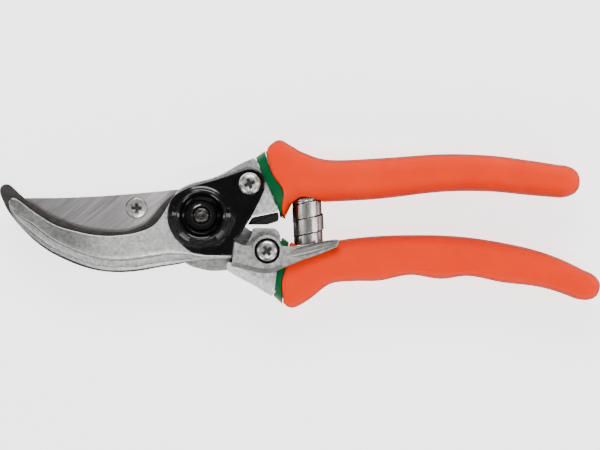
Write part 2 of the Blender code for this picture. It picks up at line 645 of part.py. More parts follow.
def make_hook_arm():
    """The upper handle: a front layer that runs on as the chamfered hook, a thick block and the tang."""
    edge = along_jaw(smooth(ARM_EDGE))
    back = along_jaw(smooth(ARM_BACK, JAW_STEPS))
    ridge = along_jaw(smooth(ARM_RIDGE, JAW_STEPS))
    hub = [UPPER_BAND_FRONT[1], ARM_CORNER, (17.5, -0.5), (16.0, -2.6), (13.0, -7.6), (11.0, -9.0)]
    common = edge + smooth(ARM_BROW)[1:] + hub
    outer = common + back[::-1]
    inner = common + ridge[::-1]
    levels = ((outer, ARM_Z), (outer, ARM_TOP - RIDGE_DROP), (inner, ARM_TOP))
    arm = lofted("hook_arm", [[(x, y, z) for x, y in points] for points, z in levels], FORGED)
    face = moved_on(drawn_in(UPPER_BAND_FRONT, BLOCK_STEP), -BLOCK_STEP)
    shifted = [(x, y - BLOCK_STEP) for x, y in smooth(ARM_BROW)[:-1]]
    brow = [point for point in shifted if math.hypot(*point) > ARM_BLOCK_RADIUS + BLOCK_STEP]
    top_angle = math.degrees(math.atan2(brow[0][1], brow[0][0]))
    low_angle = math.degrees(math.asin(2 * BLOCK_STEP / ARM_BLOCK_RADIUS))
    block = extruded("arm_block", arc((0, 0), ARM_BLOCK_RADIUS, low_angle, top_angle) + brow + list(face),
                     HUB_Z, ARM_TOP - GAP)
    join(arm, block)
    join(arm, tang_solid("upper_tang", UPPER_BAND_FRONT, upper_sections, 0.0, TANG_LEAD))
    cut(arm, cylinder("arm_bore", (0, 0), SHANK_RADIUS + GAP, ARM_Z - 1, ARM_TOP + 1))
    cut(arm, cylinder("nut_recess", (0, 0), NUT_RADIUS + GAP, ARM_Z + NUT_SEAT, ARM_TOP + 1))
    cut(arm, cylinder("cover_screw_hole", COVER_END, COVER_SCREW_RADIUS + GAP, PLATE_Z, ARM_TOP + 1))
    for number, place in enumerate(along_jaw(RIVETS), 1):
        cut(arm, cylinder(f"arm_rivet_{number}", place, RIVET_RADIUS + GAP, ARM_Z - 1, ARM_Z + RIVET_DEPTH + GAP))
    cut(arm, peg_socket("upper_peg_socket", SPRING_TOP, -1))
    return arm


def make_pivot_nut():
    """Round nut with a dished face, sunk into the hook arm."""
    bottom = ARM_Z + NUT_SEAT + GAP
    top = COVER_TOP + GAP
    profile = [(STUD_RADIUS + GAP, top - 0.6), (NUT_RADIUS - 1.2, top - 0.3), (NUT_RADIUS - 0.4, top),
               (NUT_RADIUS, top - 0.3), (NUT_RADIUS, bottom), (STUD_RADIUS + GAP, bottom)]
    return turned("pivot_nut", profile, (0, 0), DARK_STEEL)


def make_cover_plate():
    """The gloss plate: a pear outline with a square heel, and a raised dished ring around the pivot."""
    left = smooth([(12.0, 14.7), (4.95, 12.5), (-3.65, 10.0), (-9.3, 7.0), (-11.85, 0.15), (-10.3, -6.25),
                   (-6.1, -11.15), (-0.95, -13.6), (10.7, -14.1)])
    right = [(11.1, -8.95), (13.05, -7.5), (17.5, -0.35)]
    outline = arc(COVER_END, COVER_END_RADIUS, -26, 107) + left + right
    plate = extruded("cover_plate", outline, COVER_Z, COVER_TOP, BLACK_PLATE)
    hole = NUT_RADIUS + GAP
    ring = [(hole - 0.1, COVER_TOP + 0.3), (RING_CREST_RADIUS - 0.6, COVER_TOP + RING_HEIGHT),
            (RING_CREST_RADIUS + 0.6, COVER_TOP + RING_HEIGHT), (RING_OUTER_RADIUS, COVER_TOP - 0.2),
            (RING_OUTER_RADIUS, COVER_TOP - 0.8), (hole - 0.1, COVER_TOP - 0.8)]
    join(plate, turned("cover_ring", ring, (0, 0)))
    cut(plate, cylinder("cover_hole", (0, 0), hole, COVER_Z - 1, COVER_TOP + 3))
    cut(plate, cylinder("cover_screw_clearance", COVER_END, COVER_SCREW_RADIUS + GAP, COVER_Z - 1, COVER_TOP + 1))
    return plate


def make_cover_screw():
    """Pan-head screw through the cover plate's upper end."""
    seat = COVER_TOP + GAP
    head_top = seat + COVER_SCREW_HEAD_HEIGHT
    profile = [(0.0, head_top), (COVER_SCREW_HEAD_RADIUS * 0.55, head_top),
               (COVER_SCREW_HEAD_RADIUS * 0.9, head_top - 0.6), (COVER_SCREW_HEAD_RADIUS, head_top - 1.3),
               (COVER_SCREW_HEAD_RADIUS, seat), (COVER_SCREW_RADIUS, seat),
               (COVER_SCREW_RADIUS, PLATE_Z + GAP), (0.0, PLATE_Z + GAP)]
    screw = turned("cover_screw", profile, COVER_END, ZINC)
    cross_recess("cover_screw", COVER_END, COVER_SCREW_HEAD_RADIUS, head_top, 1.2)
    return screw


def make_bumper():
    """The rubber stop under the upper handle."""
    return extruded("bumper", BUMPER_OUTLINE, BUMPER_BACK, BUMPER_FRONT, RUBBER)


# ---------------------------------------------------------------- catch

def make_catch():
    """The thumb catch: nose, round hub and tail, with a collar down to its washer."""
    nose = [(14.9, -10.6), (11.5, -9.2), (10.8, -15.9), (10.0, -17.6)]
    belly = smooth([(13.6, -18.5), (18.0, -19.7), (23.2, -20.3), (28.0, -18.5), (36.2, -15.2), (46.7, -11.4)])
    tail = smooth([(48.1, -9.6), (47.3, -8.4), (43.7, -8.7), (37.7, -9.9), (31.7, -10.8)])
    hub = arc(CATCH_PIVOT, CATCH_HUB_RADIUS, 17, 166, 14)
    catch = extruded("catch", nose + belly + tail + hub, CATCH_Z, CATCH_TOP, CAST)
    collar_bottom = BOSS_TOP + WASHER_THICKNESS + 2 * GAP
    join(catch, cylinder("catch_collar", CATCH_PIVOT, CATCH_COLLAR_RADIUS, collar_bottom, CATCH_Z + 1))
    cut(catch, cylinder("catch_bore", CATCH_PIVOT, CATCH_SCREW_RADIUS + GAP, collar_bottom - 1, CATCH_TOP + 1))
    cut(catch, cylinder("catch_recess", CATCH_PIVOT, CATCH_RECESS_RADIUS,
                        CATCH_TOP - CATCH_RECESS_DEPTH, CATCH_TOP + 1))
    return catch


def make_catch_washer():
    """Plain washer between the boss and the catch."""
    bottom = BOSS_TOP + GAP
    inner = CATCH_SCREW_RADIUS + GAP
    profile = [(inner, bottom + WASHER_THICKNESS), (CATCH_COLLAR_RADIUS, bottom + WASHER_THICKNESS),
               (CATCH_COLLAR_RADIUS, bottom), (inner, bottom)]
    return turned("catch_washer", profile, CATCH_PIVOT, ZINC)


def make_catch_screw():
    """Low-head screw that the catch turns on."""
    seat = CATCH_TOP - CATCH_RECESS_DEPTH + GAP
    head_top = seat + CATCH_SCREW_HEAD_HEIGHT
    profile = [(0.0, head_top), (CATCH_SCREW_HEAD_RADIUS * 0.7, head_top),
               (CATCH_SCREW_HEAD_RADIUS, head_top - 0.5), (CATCH_SCREW_HEAD_RADIUS, seat),
               (CATCH_SCREW_RADIUS, seat), (CATCH_SCREW_RADIUS, CATCH_SCREW_FLOOR),
               (0.0, CATCH_SCREW_FLOOR)]
    screw = turned("catch_screw", profile, CATCH_PIVOT, ZINC)
    cross_recess("catch_screw", CATCH_PIVOT, CATCH_SCREW_HEAD_RADIUS, head_top, 1.0)
    return screw


# ---------------------------------------------------------------- grips and bands

def make_handle_covers(side, band_front, band_face, sections, seat, away):
    """A handle's green collar and orange grip, with the tang's cavity cut out of both."""
    cavity = tang_solid(f"{side}_cavity", band_front, sections, GAP, TANG_LEAD)
    band = band_solid(f"{side}_band", band_face, sections[0], GREEN)
    cut(band, cavity)
    grip = grip_solid(f"{side}_grip", sections, ORANGE)
    cut(grip, cavity)
    cut(grip, spring_recess(f"{side}_spring_recess", seat, away))
    return [band, grip]


# ---------------------------------------------------------------- assembly

blade_side = [make_pivot_bolt(), make_blade_arm(), make_blade(), make_blade_screw(),
              make_catch_washer(), make_catch_screw(), make_peg("lower_spring_peg", SPRING_BOTTOM, 1),
              make_spring()]
blade_side += make_handle_covers("lower", LOWER_BAND_FRONT, lower_band_face, lower_sections, SPRING_BOTTOM, 1)
hook_side = [make_hook_plate(), make_hook_arm(), make_pivot_nut(), make_cover_plate(), make_cover_screw(),
             make_bumper(), make_peg("upper_spring_peg", SPRING_TOP, -1)]
hook_side += [make_rivet(number, place) for number, place in enumerate(along_jaw(RIVETS), 1)]
hook_side += make_handle_covers("upper", UPPER_BAND_FRONT, upper_band_face, upper_sections, SPRING_TOP, -1)
catch_side = [make_catch()]


def hang_on(pieces, name, place):
    """Parent the pieces to an empty on their joint's axis, where they are."""
    axis = bpy.data.objects.new(name, None)
    axis.location = (place[0] * MM, place[1] * MM, 0.0)
    PARTS.objects.link(axis)
    bpy.context.view_layer.update()
    for piece in pieces:
        piece.parent = axis
        piece.matrix_parent_inverse = axis.matrix_world.inverted()


hang_on(blade_side, "blade_side_frame", (0, 0))
hang_on(hook_side, "jaw_pivot_axis", (0, 0))
hang_on(catch_side, "catch_pivot_axis", CATCH_PIVOT)

for piece in blade_side + hook_side + catch_side:
    piece.data.shade_smooth()
    piece.data.set_sharp_from_angle(angle=math.radians(32))
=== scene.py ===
# %% [markdown]
# # A pair of bypass pruning shears
# The shears lie on a pale table, seen from straight above, closed and latched. Two forged handles turn
# on one bolt. This lesson builds the surfaces and finishes around a model that already works: the frame
# gives every size and every joint, and each piece made here stands for one of its parts.

# %% Load the working model
import math

import bmesh
import bpy
import numpy as np
from mathutils import Matrix, Vector


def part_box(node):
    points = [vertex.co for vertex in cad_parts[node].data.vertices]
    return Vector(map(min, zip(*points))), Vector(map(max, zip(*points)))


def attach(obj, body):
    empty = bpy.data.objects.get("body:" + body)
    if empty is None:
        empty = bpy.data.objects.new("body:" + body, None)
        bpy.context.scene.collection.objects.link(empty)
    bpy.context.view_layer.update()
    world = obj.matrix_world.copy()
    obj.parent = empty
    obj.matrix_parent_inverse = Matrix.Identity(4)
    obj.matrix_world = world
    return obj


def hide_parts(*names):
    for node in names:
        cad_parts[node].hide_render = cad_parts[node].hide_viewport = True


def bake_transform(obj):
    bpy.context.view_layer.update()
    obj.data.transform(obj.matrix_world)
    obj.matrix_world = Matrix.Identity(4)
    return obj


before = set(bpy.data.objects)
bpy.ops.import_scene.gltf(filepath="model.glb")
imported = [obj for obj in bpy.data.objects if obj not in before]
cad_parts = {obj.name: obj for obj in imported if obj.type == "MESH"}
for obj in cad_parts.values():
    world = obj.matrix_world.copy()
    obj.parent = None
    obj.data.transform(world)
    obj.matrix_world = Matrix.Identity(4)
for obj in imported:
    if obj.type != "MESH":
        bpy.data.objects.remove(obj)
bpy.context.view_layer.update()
MM = 0.001

# %% [markdown]
# ## Heights
# Every layer of the shears has its own height above the table. Reading them from the frame keeps the
# surfaces on the working parts, whatever their sizes are. Lengths below are in millimetres.

# %% Read the layers
def low(node):
    """Height of a part's underside."""
    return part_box(node)[0].z / MM


def high(node):
    """Height of a part's top."""
    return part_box(node)[1].z / MM


LAYER_GAP = 0.3
PLATE_THICKNESS = 1.6
CATCH_THICKNESS = 2.4
ARM_LOW = high("hook_plate") + LAYER_GAP
ARM_HIGH = low("cover_plate") - LAYER_GAP
PLATE_HIGH = low("cover_plate") + PLATE_THICKNESS
GRIP_MIDDLE = (low("upper_grip") + high("upper_grip")) / 2
GRIP_HALF = (high("upper_grip") - low("upper_grip")) / 2
CATCH_HIGH = high("catch")
CATCH_LOW = CATCH_HIGH - CATCH_THICKNESS
print(f"hook arm {ARM_LOW:.1f} to {ARM_HIGH:.1f} mm")
print(f"cover plate up to {PLATE_HIGH:.1f}, catch up to {CATCH_HIGH:.1f} mm")

# %% [markdown]
# ## Camera
# The camera looks straight down with a long lens, which keeps the outline nearly free of perspective.
# Its height follows from the width of the view: the longer the lens, the higher it has to stand.

# %% Camera
VIEW_CENTRE = (34.3, -3.4)
VIEW_WIDTH = 210.0
LENS = 200.0
SENSOR = 36.0


def linked(name, data):
    """An object with this data, in the scene."""
    made = bpy.data.objects.new(name, data)
    bpy.context.scene.collection.objects.link(made)
    return made


camera_data = bpy.data.cameras.new("camera")
camera_data.lens = LENS
camera_data.sensor_width = SENSOR
camera = linked("camera", camera_data)
camera.location = Vector((*VIEW_CENTRE, GRIP_MIDDLE + VIEW_WIDTH * LENS / SENSOR)) * MM
bpy.context.scene.camera = camera
print("camera height:", round(camera.location.z, 3), "m")

# %% [markdown]
# ## Table
# A sheet of pale card. It glows a little of its own, as a backlit table does, so that it stays almost
# white and the shears leave only a faint shadow. It is staging, so it isn't part of the object.

# %% Table
TABLE_HALF = 1.5
TABLE_DROP = 0.0002
SQUARE = ((-1, -1), (1, -1), (1, 1), (-1, 1))
table_corners = [(x * TABLE_HALF, y * TABLE_HALF, -TABLE_DROP) for x, y in SQUARE]
table_mesh = bpy.data.meshes.new("table")
table_mesh.from_pydata(table_corners, [], [(0, 1, 2, 3)])
table = linked("table", table_mesh)
card = bpy.data.materials.new("pale_card")
card.use_nodes = True
card_shader = card.node_tree.nodes["Principled BSDF"]
card_shader.inputs["Base Color"].default_value = (0.9, 0.9, 0.9, 1.0)
card_shader.inputs["Roughness"].default_value = 0.9
card_shader.inputs["Emission Color"].default_value = (1.0, 1.0, 1.0, 1.0)
card_shader.inputs["Emission Strength"].default_value = 2.2
table_mesh.materials.append(card)
print("table:", 2 * TABLE_HALF, "m wide")

# %% [markdown]
# ## Panels
# Six area lights stand round the table: a wide one behind it, two low ones in front, a narrow strip on
# each side and a small key high up. Bright metal only looks like metal when it has panels to reflect,
# and each panel puts one highlight on the rounded edges.

# %% Panels
AIM = Vector((0.03, 0.0, 0.0))
PANELS = (
    ("panel_near_left", (-0.65, -0.8, 0.55), (0.4, 0.4), 4.5),
    ("panel_near_right", (0.75, -0.8, 0.55), (0.4, 0.4), 4.5),
    ("panel_far", (0.1, 1.0, 0.8), (1.0, 0.4), 14.0),
    ("panel_key", (0.15, -0.42, 1.25), (0.3, 0.2), 4.0),
    ("strip_left", (-0.95, 0.05, 0.55), (0.1, 0.9), 2.0),
    ("strip_right", (1.0, 0.0, 0.75), (0.15, 0.9), 4.0))


def soft_panel(name, place, size, power):
    """A rectangular area light that faces the shears, in metres and watts."""
    data = bpy.data.lights.new(name, "AREA")
    data.shape = "RECTANGLE"
    data.size, data.size_y = size
    data.energy = power
    panel = linked(name, data)
    panel.location = place
    panel.rotation_euler = (AIM - Vector(place)).to_track_quat("-Z", "Y").to_euler()


for panel_values in PANELS:
    soft_panel(*panel_values)

# %% [markdown]
# ## Studio walls
# The flat pieces face straight up, so what they reflect is the studio itself. It is dim at the floor,
# brightest high on the walls, and dark again straight overhead, where the camera hangs. Black lacquer
# mirrors that dark opening and stays black, while the brushed and tumbled metal spreads it out.

# %% Studio walls
world = bpy.data.worlds.new("studio")
world.use_nodes = True
sky = world.node_tree
direction = sky.nodes.new("ShaderNodeTexCoord")
height = sky.nodes.new("ShaderNodeSeparateXYZ")
shade = sky.nodes.new("ShaderNodeValToRGB")
for position, value in ((0.45, 0.1), (0.62, 0.12), (0.8, 0.5), (0.9, 0.75), (0.96, 0.3)):
    stop = shade.color_ramp.elements.new(position)
    stop.color = (value, value, value * 1.02, 1.0)
shade.color_ramp.elements[0].color = (0.2, 0.2, 0.2, 1.0)
shade.color_ramp.elements[-1].color = (0.12, 0.12, 0.12, 1.0)
sky.links.new(direction.outputs["Generated"], height.inputs["Vector"])
sky.links.new(height.outputs["Z"], shade.inputs["Fac"])
sky.links.new(shade.outputs["Color"], sky.nodes["Background"].inputs["Color"])
bpy.context.scene.world = world
print("shades from floor to roof:", len(shade.color_ramp.elements))

# %% [markdown]
# ## Finishes
# A finish is a small graph of nodes. All of them start from the object's own coordinates, so grain and
# scratches have real sizes: a noise scale of 1000 gives features about a millimetre across. Real metal
# is never one value all over, so noise drives the colour, the roughness and a fine bump.

# %% Node helpers
NOISE_SPAN = (0.3, 0.7)


class Finish:
    """A Principled material, with short calls that add one layer of detail at a time."""

    def __init__(self, name, colour, roughness, metallic=0.0):
        self.material = bpy.data.materials.new(name)
        self.material.use_nodes = True
        self.tree = self.material.node_tree
        self.shader = self.tree.nodes["Principled BSDF"]
        self.shader.inputs["Base Color"].default_value = (*colour, 1.0)
        self.shader.inputs["Roughness"].default_value = roughness
        self.shader.inputs["Metallic"].default_value = metallic
        self.coordinates = self.tree.nodes.new("ShaderNodeTexCoord")
        self.last_bump = None

    def link(self, source, output, target, socket):
        """Join one node's output to another's input."""
        self.tree.links.new(source.outputs[output], target.inputs[socket])

    def placed(self, stretch=(1.0, 1.0, 1.0), turn=0.0):
        """Object coordinates, turned about Z by degrees and then stretched."""
        turned_by = self.tree.nodes.new("ShaderNodeMapping")
        turned_by.inputs["Rotation"].default_value = (0.0, 0.0, math.radians(turn))
        self.link(self.coordinates, "Object", turned_by, "Vector")
        stretched = self.tree.nodes.new("ShaderNodeMapping")
        stretched.inputs["Scale"].default_value = stretch
        self.link(turned_by, "Vector", stretched, "Vector")
        return stretched

    def noise(self, scale, detail=3.0, roughness=0.5, where=None):
        """A noise texture at this scale."""
        made = self.tree.nodes.new("ShaderNodeTexNoise")
        made.inputs["Scale"].default_value = scale
        made.inputs["Detail"].default_value = detail
        made.inputs["Roughness"].default_value = roughness
        self.link(where or self.placed(), "Vector", made, "Vector")
        return made

    def ramp(self, source, output, stops):
        """A colour ramp over a node's output. Stops are (position, colour)."""
        made = self.tree.nodes.new("ShaderNodeValToRGB")
        elements = made.color_ramp.elements
        while len(elements) < len(stops):
            elements.new(0.5)
        for element, (position, colour) in zip(elements, stops):
            element.position = position
            element.color = (*colour, 1.0)
        self.link(source, output, made, "Fac")
        return made

    def gradient(self, axis, start, end, stops, turn=0.0):
        """Colours along one of the object's axes, or a turned one, between two places in millimetres."""
        apart = self.tree.nodes.new("ShaderNodeSeparateXYZ")
        self.link(self.placed(turn=turn), "Vector", apart, "Vector")
        share = self.tree.nodes.new("ShaderNodeMapRange")
        share.inputs["From Min"].default_value = start * MM
        share.inputs["From Max"].default_value = end * MM
        self.link(apart, axis, share, "Value")
        return self.ramp(share, "Result", stops)

    def facing(self, stops):
        """Colours by how far a surface lies flat: 0 on a side wall, 1 on the front and the back."""
        apart = self.tree.nodes.new("ShaderNodeSeparateXYZ")
        self.link(self.coordinates, "Normal", apart, "Vector")
        flatness = self.tree.nodes.new("ShaderNodeMath")
        flatness.operation = "ABSOLUTE"
        self.link(apart, "Z", flatness, 0)
        return self.ramp(flatness, "Value", stops)

    def colour(self, source, output="Fac", stops=(), shaded_by=()):
        """Drive the base colour, multiplied by any shading ramps."""
        result = self.ramp(source, output, stops).outputs["Color"]
        for shading in shaded_by:
            product = self.tree.nodes.new("ShaderNodeMix")
            product.data_type = "RGBA"
            product.blend_type = "MULTIPLY"
            product.inputs[0].default_value = 1.0
            self.tree.links.new(result, product.inputs[6])
            self.tree.links.new(shading.outputs["Color"], product.inputs[7])
            result = product.outputs[2]
        self.tree.links.new(result, self.shader.inputs["Base Color"])

    def roughness(self, source, low_value, high_value, output="Fac"):
        """Drive the roughness between two values."""
        made = self.tree.nodes.new("ShaderNodeMapRange")
        made.inputs["From Min"].default_value = NOISE_SPAN[0]
        made.inputs["From Max"].default_value = NOISE_SPAN[1]
        made.inputs["To Min"].default_value = low_value
        made.inputs["To Max"].default_value = high_value
        self.link(source, output, made, "Value")
        self.link(made, "Result", self.shader, "Roughness")

    def multiplied(self, source, output, masks):
        """A node's value, multiplied by some ramps. Gives the last node."""
        value = source.outputs[output]
        for mask in masks:
            product = self.tree.nodes.new("ShaderNodeMath")
            product.operation = "MULTIPLY"
            self.tree.links.new(value, product.inputs[0])
            self.tree.links.new(mask.outputs["Color"], product.inputs[1])
            value = product.outputs["Value"]
        return product

    def bump(self, source, strength, depth, output="Fac"):
        """Add a bump of this depth in millimetres on top of the ones before it."""
        made = self.tree.nodes.new("ShaderNodeBump")
        made.inputs["Strength"].default_value = strength
        made.inputs["Distance"].default_value = depth * MM
        self.link(source, output, made, "Height")
        if self.last_bump:
            self.link(self.last_bump, "Normal", made, "Normal")
        self.link(made, "Normal", self.shader, "Normal")
        self.last_bump = made

    def report(self):
        """Print what the finish is made of."""
        print(f"{self.material.name}: {len(self.tree.nodes)} nodes")


def grey(value, tint=(1.0, 1.0, 1.0)):
    """A grey of this value, with a slight tint."""
    return tuple(value * part for part in tint)


print("noise values lie mostly between", *NOISE_SPAN)

# %% [markdown]
# ### Forged aluminium
# The handles are forged and then tumbled to a satin. Close up the satin is a very fine grain, so one
# fine noise gives the colour and a finer one the bump, and a broad one makes duller patches. Two
# gradients paint shade on the metal towards the hook's tip and the handle's far edge, which turn from the
# light.

# %% Forged aluminium
WARM = (1.0, 0.985, 0.965)
forged = Finish("forged_aluminium", grey(0.6, WARM), 0.36, 1.0)
broad = forged.noise(90, 4, 0.6)
speckle = forged.noise(800, 6, 0.8)
# painted shade: darker towards the hook's tip, and towards the brow
along = forged.gradient("X", -68, -10, [(0.0, grey(0.34)), (0.38, grey(0.42)), (0.62, grey(0.85)),
                                        (1.0, grey(1.0))])
across = forged.gradient("Y", 6, 16, [(0.0, grey(1.0)), (1.0, grey(0.68))])
forged.colour(speckle, stops=[(0.38, grey(0.5, WARM)), (0.62, grey(1.0, WARM))], shaded_by=(along, across))
forged.roughness(broad, 0.32, 0.44)
forged.bump(forged.noise(1500, 3, 0.65), 0.5, 0.06)
forged.report()

# %% [markdown]
# ### Shaded rim
# The hook's band and the rounded edges are the same aluminium, a little rougher than the flat top. Their
# colour is a greyer copy, painted shade, darker still towards the tip. A second finish is simpler than a
# mask, because the edges are faces of their own.

# %% Shaded rim
# painted shade: a darker copy of the forged aluminium, darkest at the hook's tip
rim_painted_shade = Finish("rim_painted_shade_finish", grey(0.5, WARM), 0.4, 1.0)
rim_speckle = rim_painted_shade.noise(900, 5, 0.75)
rim_tip_painted_shade = rim_painted_shade.gradient("X", -68, -36, [(0.0, grey(0.5)), (1.0, grey(1.0))])
rim_painted_shade.colour(rim_speckle, stops=[(0.36, grey(0.36, WARM)), (0.64, grey(0.72, WARM))], shaded_by=[rim_tip_painted_shade])
rim_painted_shade.roughness(rim_painted_shade.noise(300, 4, 0.6), 0.34, 0.48)
rim_painted_shade.bump(rim_painted_shade.noise(1500, 3, 0.65), 0.5, 0.06)
rim_painted_shade.report()

# %% [markdown]
# ### Blasted casting
# The catch and the rear hub are castings blasted with grit. Blasting leaves small pits, so the noise is
# strong in both colour and bump, and the finish is duller than a tumbled one.

# %% Blasted casting
blasted = Finish("blasted_casting", grey(0.42, WARM), 0.5, 1.0)
patches = blasted.noise(700, 5, 0.75)
blasted.colour(patches, stops=[(0.36, grey(0.22, WARM)), (0.64, grey(0.54, WARM))])
blasted.roughness(patches, 0.42, 0.58)
blasted.bump(blasted.noise(1700, 3, 0.7), 0.7, 0.09)
blasted.report()

# %% [markdown]
# ### Shaded catch casting
# The catch's bevel and its thumb scoop face away from the light, so they get a darker copy of the blasted
# finish: painted shade.

# %% Shaded catch casting
# painted shade: a darker copy of the blasted finish
catch_painted_shade = Finish("catch_shade_finish", grey(0.2, WARM), 0.45, 1.0)
dark_patches = catch_painted_shade.noise(700, 5, 0.75)
catch_painted_shade.colour(dark_patches, stops=[(0.3, grey(0.15, WARM)), (0.7, grey(0.3, WARM))])
catch_painted_shade.bump(catch_painted_shade.noise(1700, 3, 0.7), 0.5, 0.07)
catch_painted_shade.report()

# %% [markdown]
# ### Boss casting, with painted light and shade
# The boss under the catch is blasted too. One gradient paints a highlight towards its outer edge, one
# paints shade on the left end, and a turned one paints the inner corner, under the catch's nose, in deep
# shade.

# %% Boss casting
CORNER_TURN = 211
boss_light_and_shade = Finish("boss_casting_light_and_shade", grey(0.5, WARM), 0.42, 1.0)
grain = boss_light_and_shade.noise(900, 5, 0.75)
# painted light and shade: a highlight towards the outer edge, deep shade in the inner corner, shade on the
# left end
edge_painted_highlight = boss_light_and_shade.gradient("Y", -19, -9, [(0.0, grey(1.0)), (1.0, grey(0.6))])
dark_corner = boss_light_and_shade.gradient("X", -18.2, -17.2, [(0.0, grey(1.0)), (1.0, grey(0.04))], CORNER_TURN)
end_painted_shade = boss_light_and_shade.gradient("X", 9.5, 12.5, [(0.0, grey(0.4)), (1.0, grey(1.0))])
boss_light_and_shade.colour(grain, stops=[(0.36, grey(0.4, WARM)), (0.64, grey(0.92, WARM))],
               shaded_by=[edge_painted_highlight, dark_corner, end_painted_shade])
boss_light_and_shade.roughness(grain, 0.36, 0.5)
boss_light_and_shade.bump(boss_light_and_shade.noise(1700, 3, 0.7), 0.6, 0.07)
boss_light_and_shade.report()

# %% [markdown]
# ### Ground steel
# The blade was ground on a wheel, which leaves parallel strokes across it. A noise stretched nearly
# thirty times along the strokes gives them. The same noise drives bump and roughness, so they catch light.
# A gradient paints a highlight that brightens the blade towards the pivot.

# %% Ground steel
BLUSH = (1.0, 0.955, 0.95)
STROKE_TURN = -38
ground = Finish("ground_steel", grey(0.5, BLUSH), 0.34, 1.0)
strokes = ground.noise(1.0, 4, 0.65, ground.placed((40, 1100, 60), STROKE_TURN))
wide_strokes = ground.noise(1.0, 5, 0.75, ground.placed((34, 760, 40), STROKE_TURN))
# painted highlight: the blade grows brighter towards the pivot
pivot_painted_highlight = ground.gradient("X", -60, -17, [(0.0, grey(0.5)), (0.7, grey(0.62)), (0.85, grey(0.8)),
                                                (1.0, grey(1.0))])
ground.colour(wide_strokes, shaded_by=[pivot_painted_highlight],
              stops=[(0.32, grey(0.62, BLUSH)), (0.5, grey(0.8, BLUSH)), (0.7, grey(1.0, BLUSH))])
ground.roughness(strokes, 0.26, 0.42)
ground.bump(strokes, 0.45, 0.05)
ground.report()

# %% [markdown]
# ### Blackened steel
# The counter blade is browned, as tools often are against rust. That is a thin oxide on steel, so the
# finish is only half metallic and nearly black, with a slight warmth.

# %% Blackened steel
smoked = Finish("smoked_steel", (0.05, 0.044, 0.042), 0.48, 0.55)
smoke = smoked.noise(500, 4, 0.6)
smoked.colour(smoke, stops=[(0.3, (0.038, 0.034, 0.033)), (0.7, (0.066, 0.058, 0.055))])
smoked.roughness(smoke, 0.4, 0.56)
smoked.bump(smoked.noise(2400, 3, 0.6), 0.35, 0.03)
smoked.report()

# %% [markdown]
# ### Zinc plate
# Screws are zinc plated: bright, slightly warm, with the odd dull patch where the plating is thin.

# %% Zinc plate
zinc = Finish("zinc_plate", grey(0.66), 0.24, 1.0)
thin = zinc.noise(700, 4, 0.6)
zinc.colour(thin, stops=[(0.3, grey(0.42, (1.0, 1.0, 0.94))), (0.7, grey(0.62, (1.0, 1.0, 0.97)))])
zinc.roughness(thin, 0.24, 0.38)
zinc.bump(zinc.noise(1100, 3, 0.6), 0.1, 0.015)
zinc.report()

# %% [markdown]
# ### Black lacquer
# Lacquer pools into a wavy skin under a clear coat. On the raised ring it wrinkles and sparkles, most on
# the lower half. That could be modelled, but a bump behind two masks is lighter: one mask is the
# distance from the bolt, the other runs up the plate.

# %% Black lacquer
MASK_REACH = 20.0
RING_MASK = ((8.0, 0.0), (9.2, 1.0), (10.8, 1.0), (12.0, 0.0))
lacquer = Finish("black_lacquer", (0.002, 0.002, 0.0022), 0.14)
lacquer.shader.inputs["Specular IOR Level"].default_value = 0.2
lacquer.shader.inputs["Coat Weight"].default_value = 0.5
lacquer.shader.inputs["Coat Roughness"].default_value = 0.05
lacquer.roughness(lacquer.noise(240, 3, 0.6), 0.1, 0.22)
lacquer.bump(lacquer.noise(330, 3, 0.6), 0.5, 0.12)
from_bolt = lacquer.tree.nodes.new("ShaderNodeVectorMath")
from_bolt.operation = "LENGTH"
lacquer.link(lacquer.placed((1.0, 1.0, 0.0)), "Vector", from_bolt, "Vector")
share_out = lacquer.tree.nodes.new("ShaderNodeMapRange")
share_out.inputs["From Max"].default_value = MASK_REACH * MM
lacquer.link(from_bolt, "Value", share_out, "Value")
on_ring = lacquer.ramp(share_out, "Result", [(out / MASK_REACH, grey(value)) for out, value in RING_MASK])
lower_half = lacquer.gradient("Y", -4, 2, [(0.0, grey(1.0)), (1.0, grey(0.15))])
wrinkles = lacquer.multiplied(lacquer.noise(700, 3, 0.6), "Fac", [on_ring, lower_half])
lacquer.bump(wrinkles, 1.0, 1.1, "Value")
lacquer.report()

# %% [markdown]
# ### Sooty steel
# The bolt is left black from its heat treatment, with grey steel showing where the scale has rubbed off.

# %% Sooty steel
sooty = Finish("sooty_steel", (0.09, 0.085, 0.08), 0.36, 0.9)
soot = sooty.noise(800, 4, 0.65)
sooty.colour(soot, stops=[(0.35, (0.03, 0.028, 0.027)), (0.65, (0.12, 0.115, 0.11))])
sooty.roughness(soot, 0.22, 0.4)
sooty.bump(sooty.noise(1500, 3, 0.6), 0.3, 0.05)
sooty.report()

# %% [markdown]
# ### Bright spring strip
# The strip's flanks are painted dark with a warm tint, as painted shade, and only the flat faces stay
# bright metal. How flat a face lies tells the two apart, so the same measure drives the colour and makes
# the flanks non-metallic.

# %% Bright spring strip
bright = Finish("bright_strip", grey(0.72, (1.0, 0.97, 0.94)), 0.1, 1.0)
# painted shade: the flanks turn dark
flank_painted_shade = bright.facing([(0.0, grey(0.03)), (0.5, grey(0.08, (1.0, 0.86, 0.8))),
                        (0.72, grey(0.6, (1.0, 0.9, 0.84))), (0.95, grey(0.85, (1.0, 0.95, 0.91)))])
rolled = bright.noise(1.0, 3, 0.6, bright.placed((500, 30, 500)))
bright.colour(rolled, stops=[(0.3, grey(0.4)), (0.7, grey(0.62))], shaded_by=[flank_painted_shade])
flat_faces_metallic = bright.facing([(0.3, grey(0.0)), (0.55, grey(1.0))])
bright.link(flat_faces_metallic, "Color", bright.shader, "Metallic")
bright.shader.inputs["Specular IOR Level"].default_value = 0.0
bright.roughness(rolled, 0.2, 0.3)
bright.report()

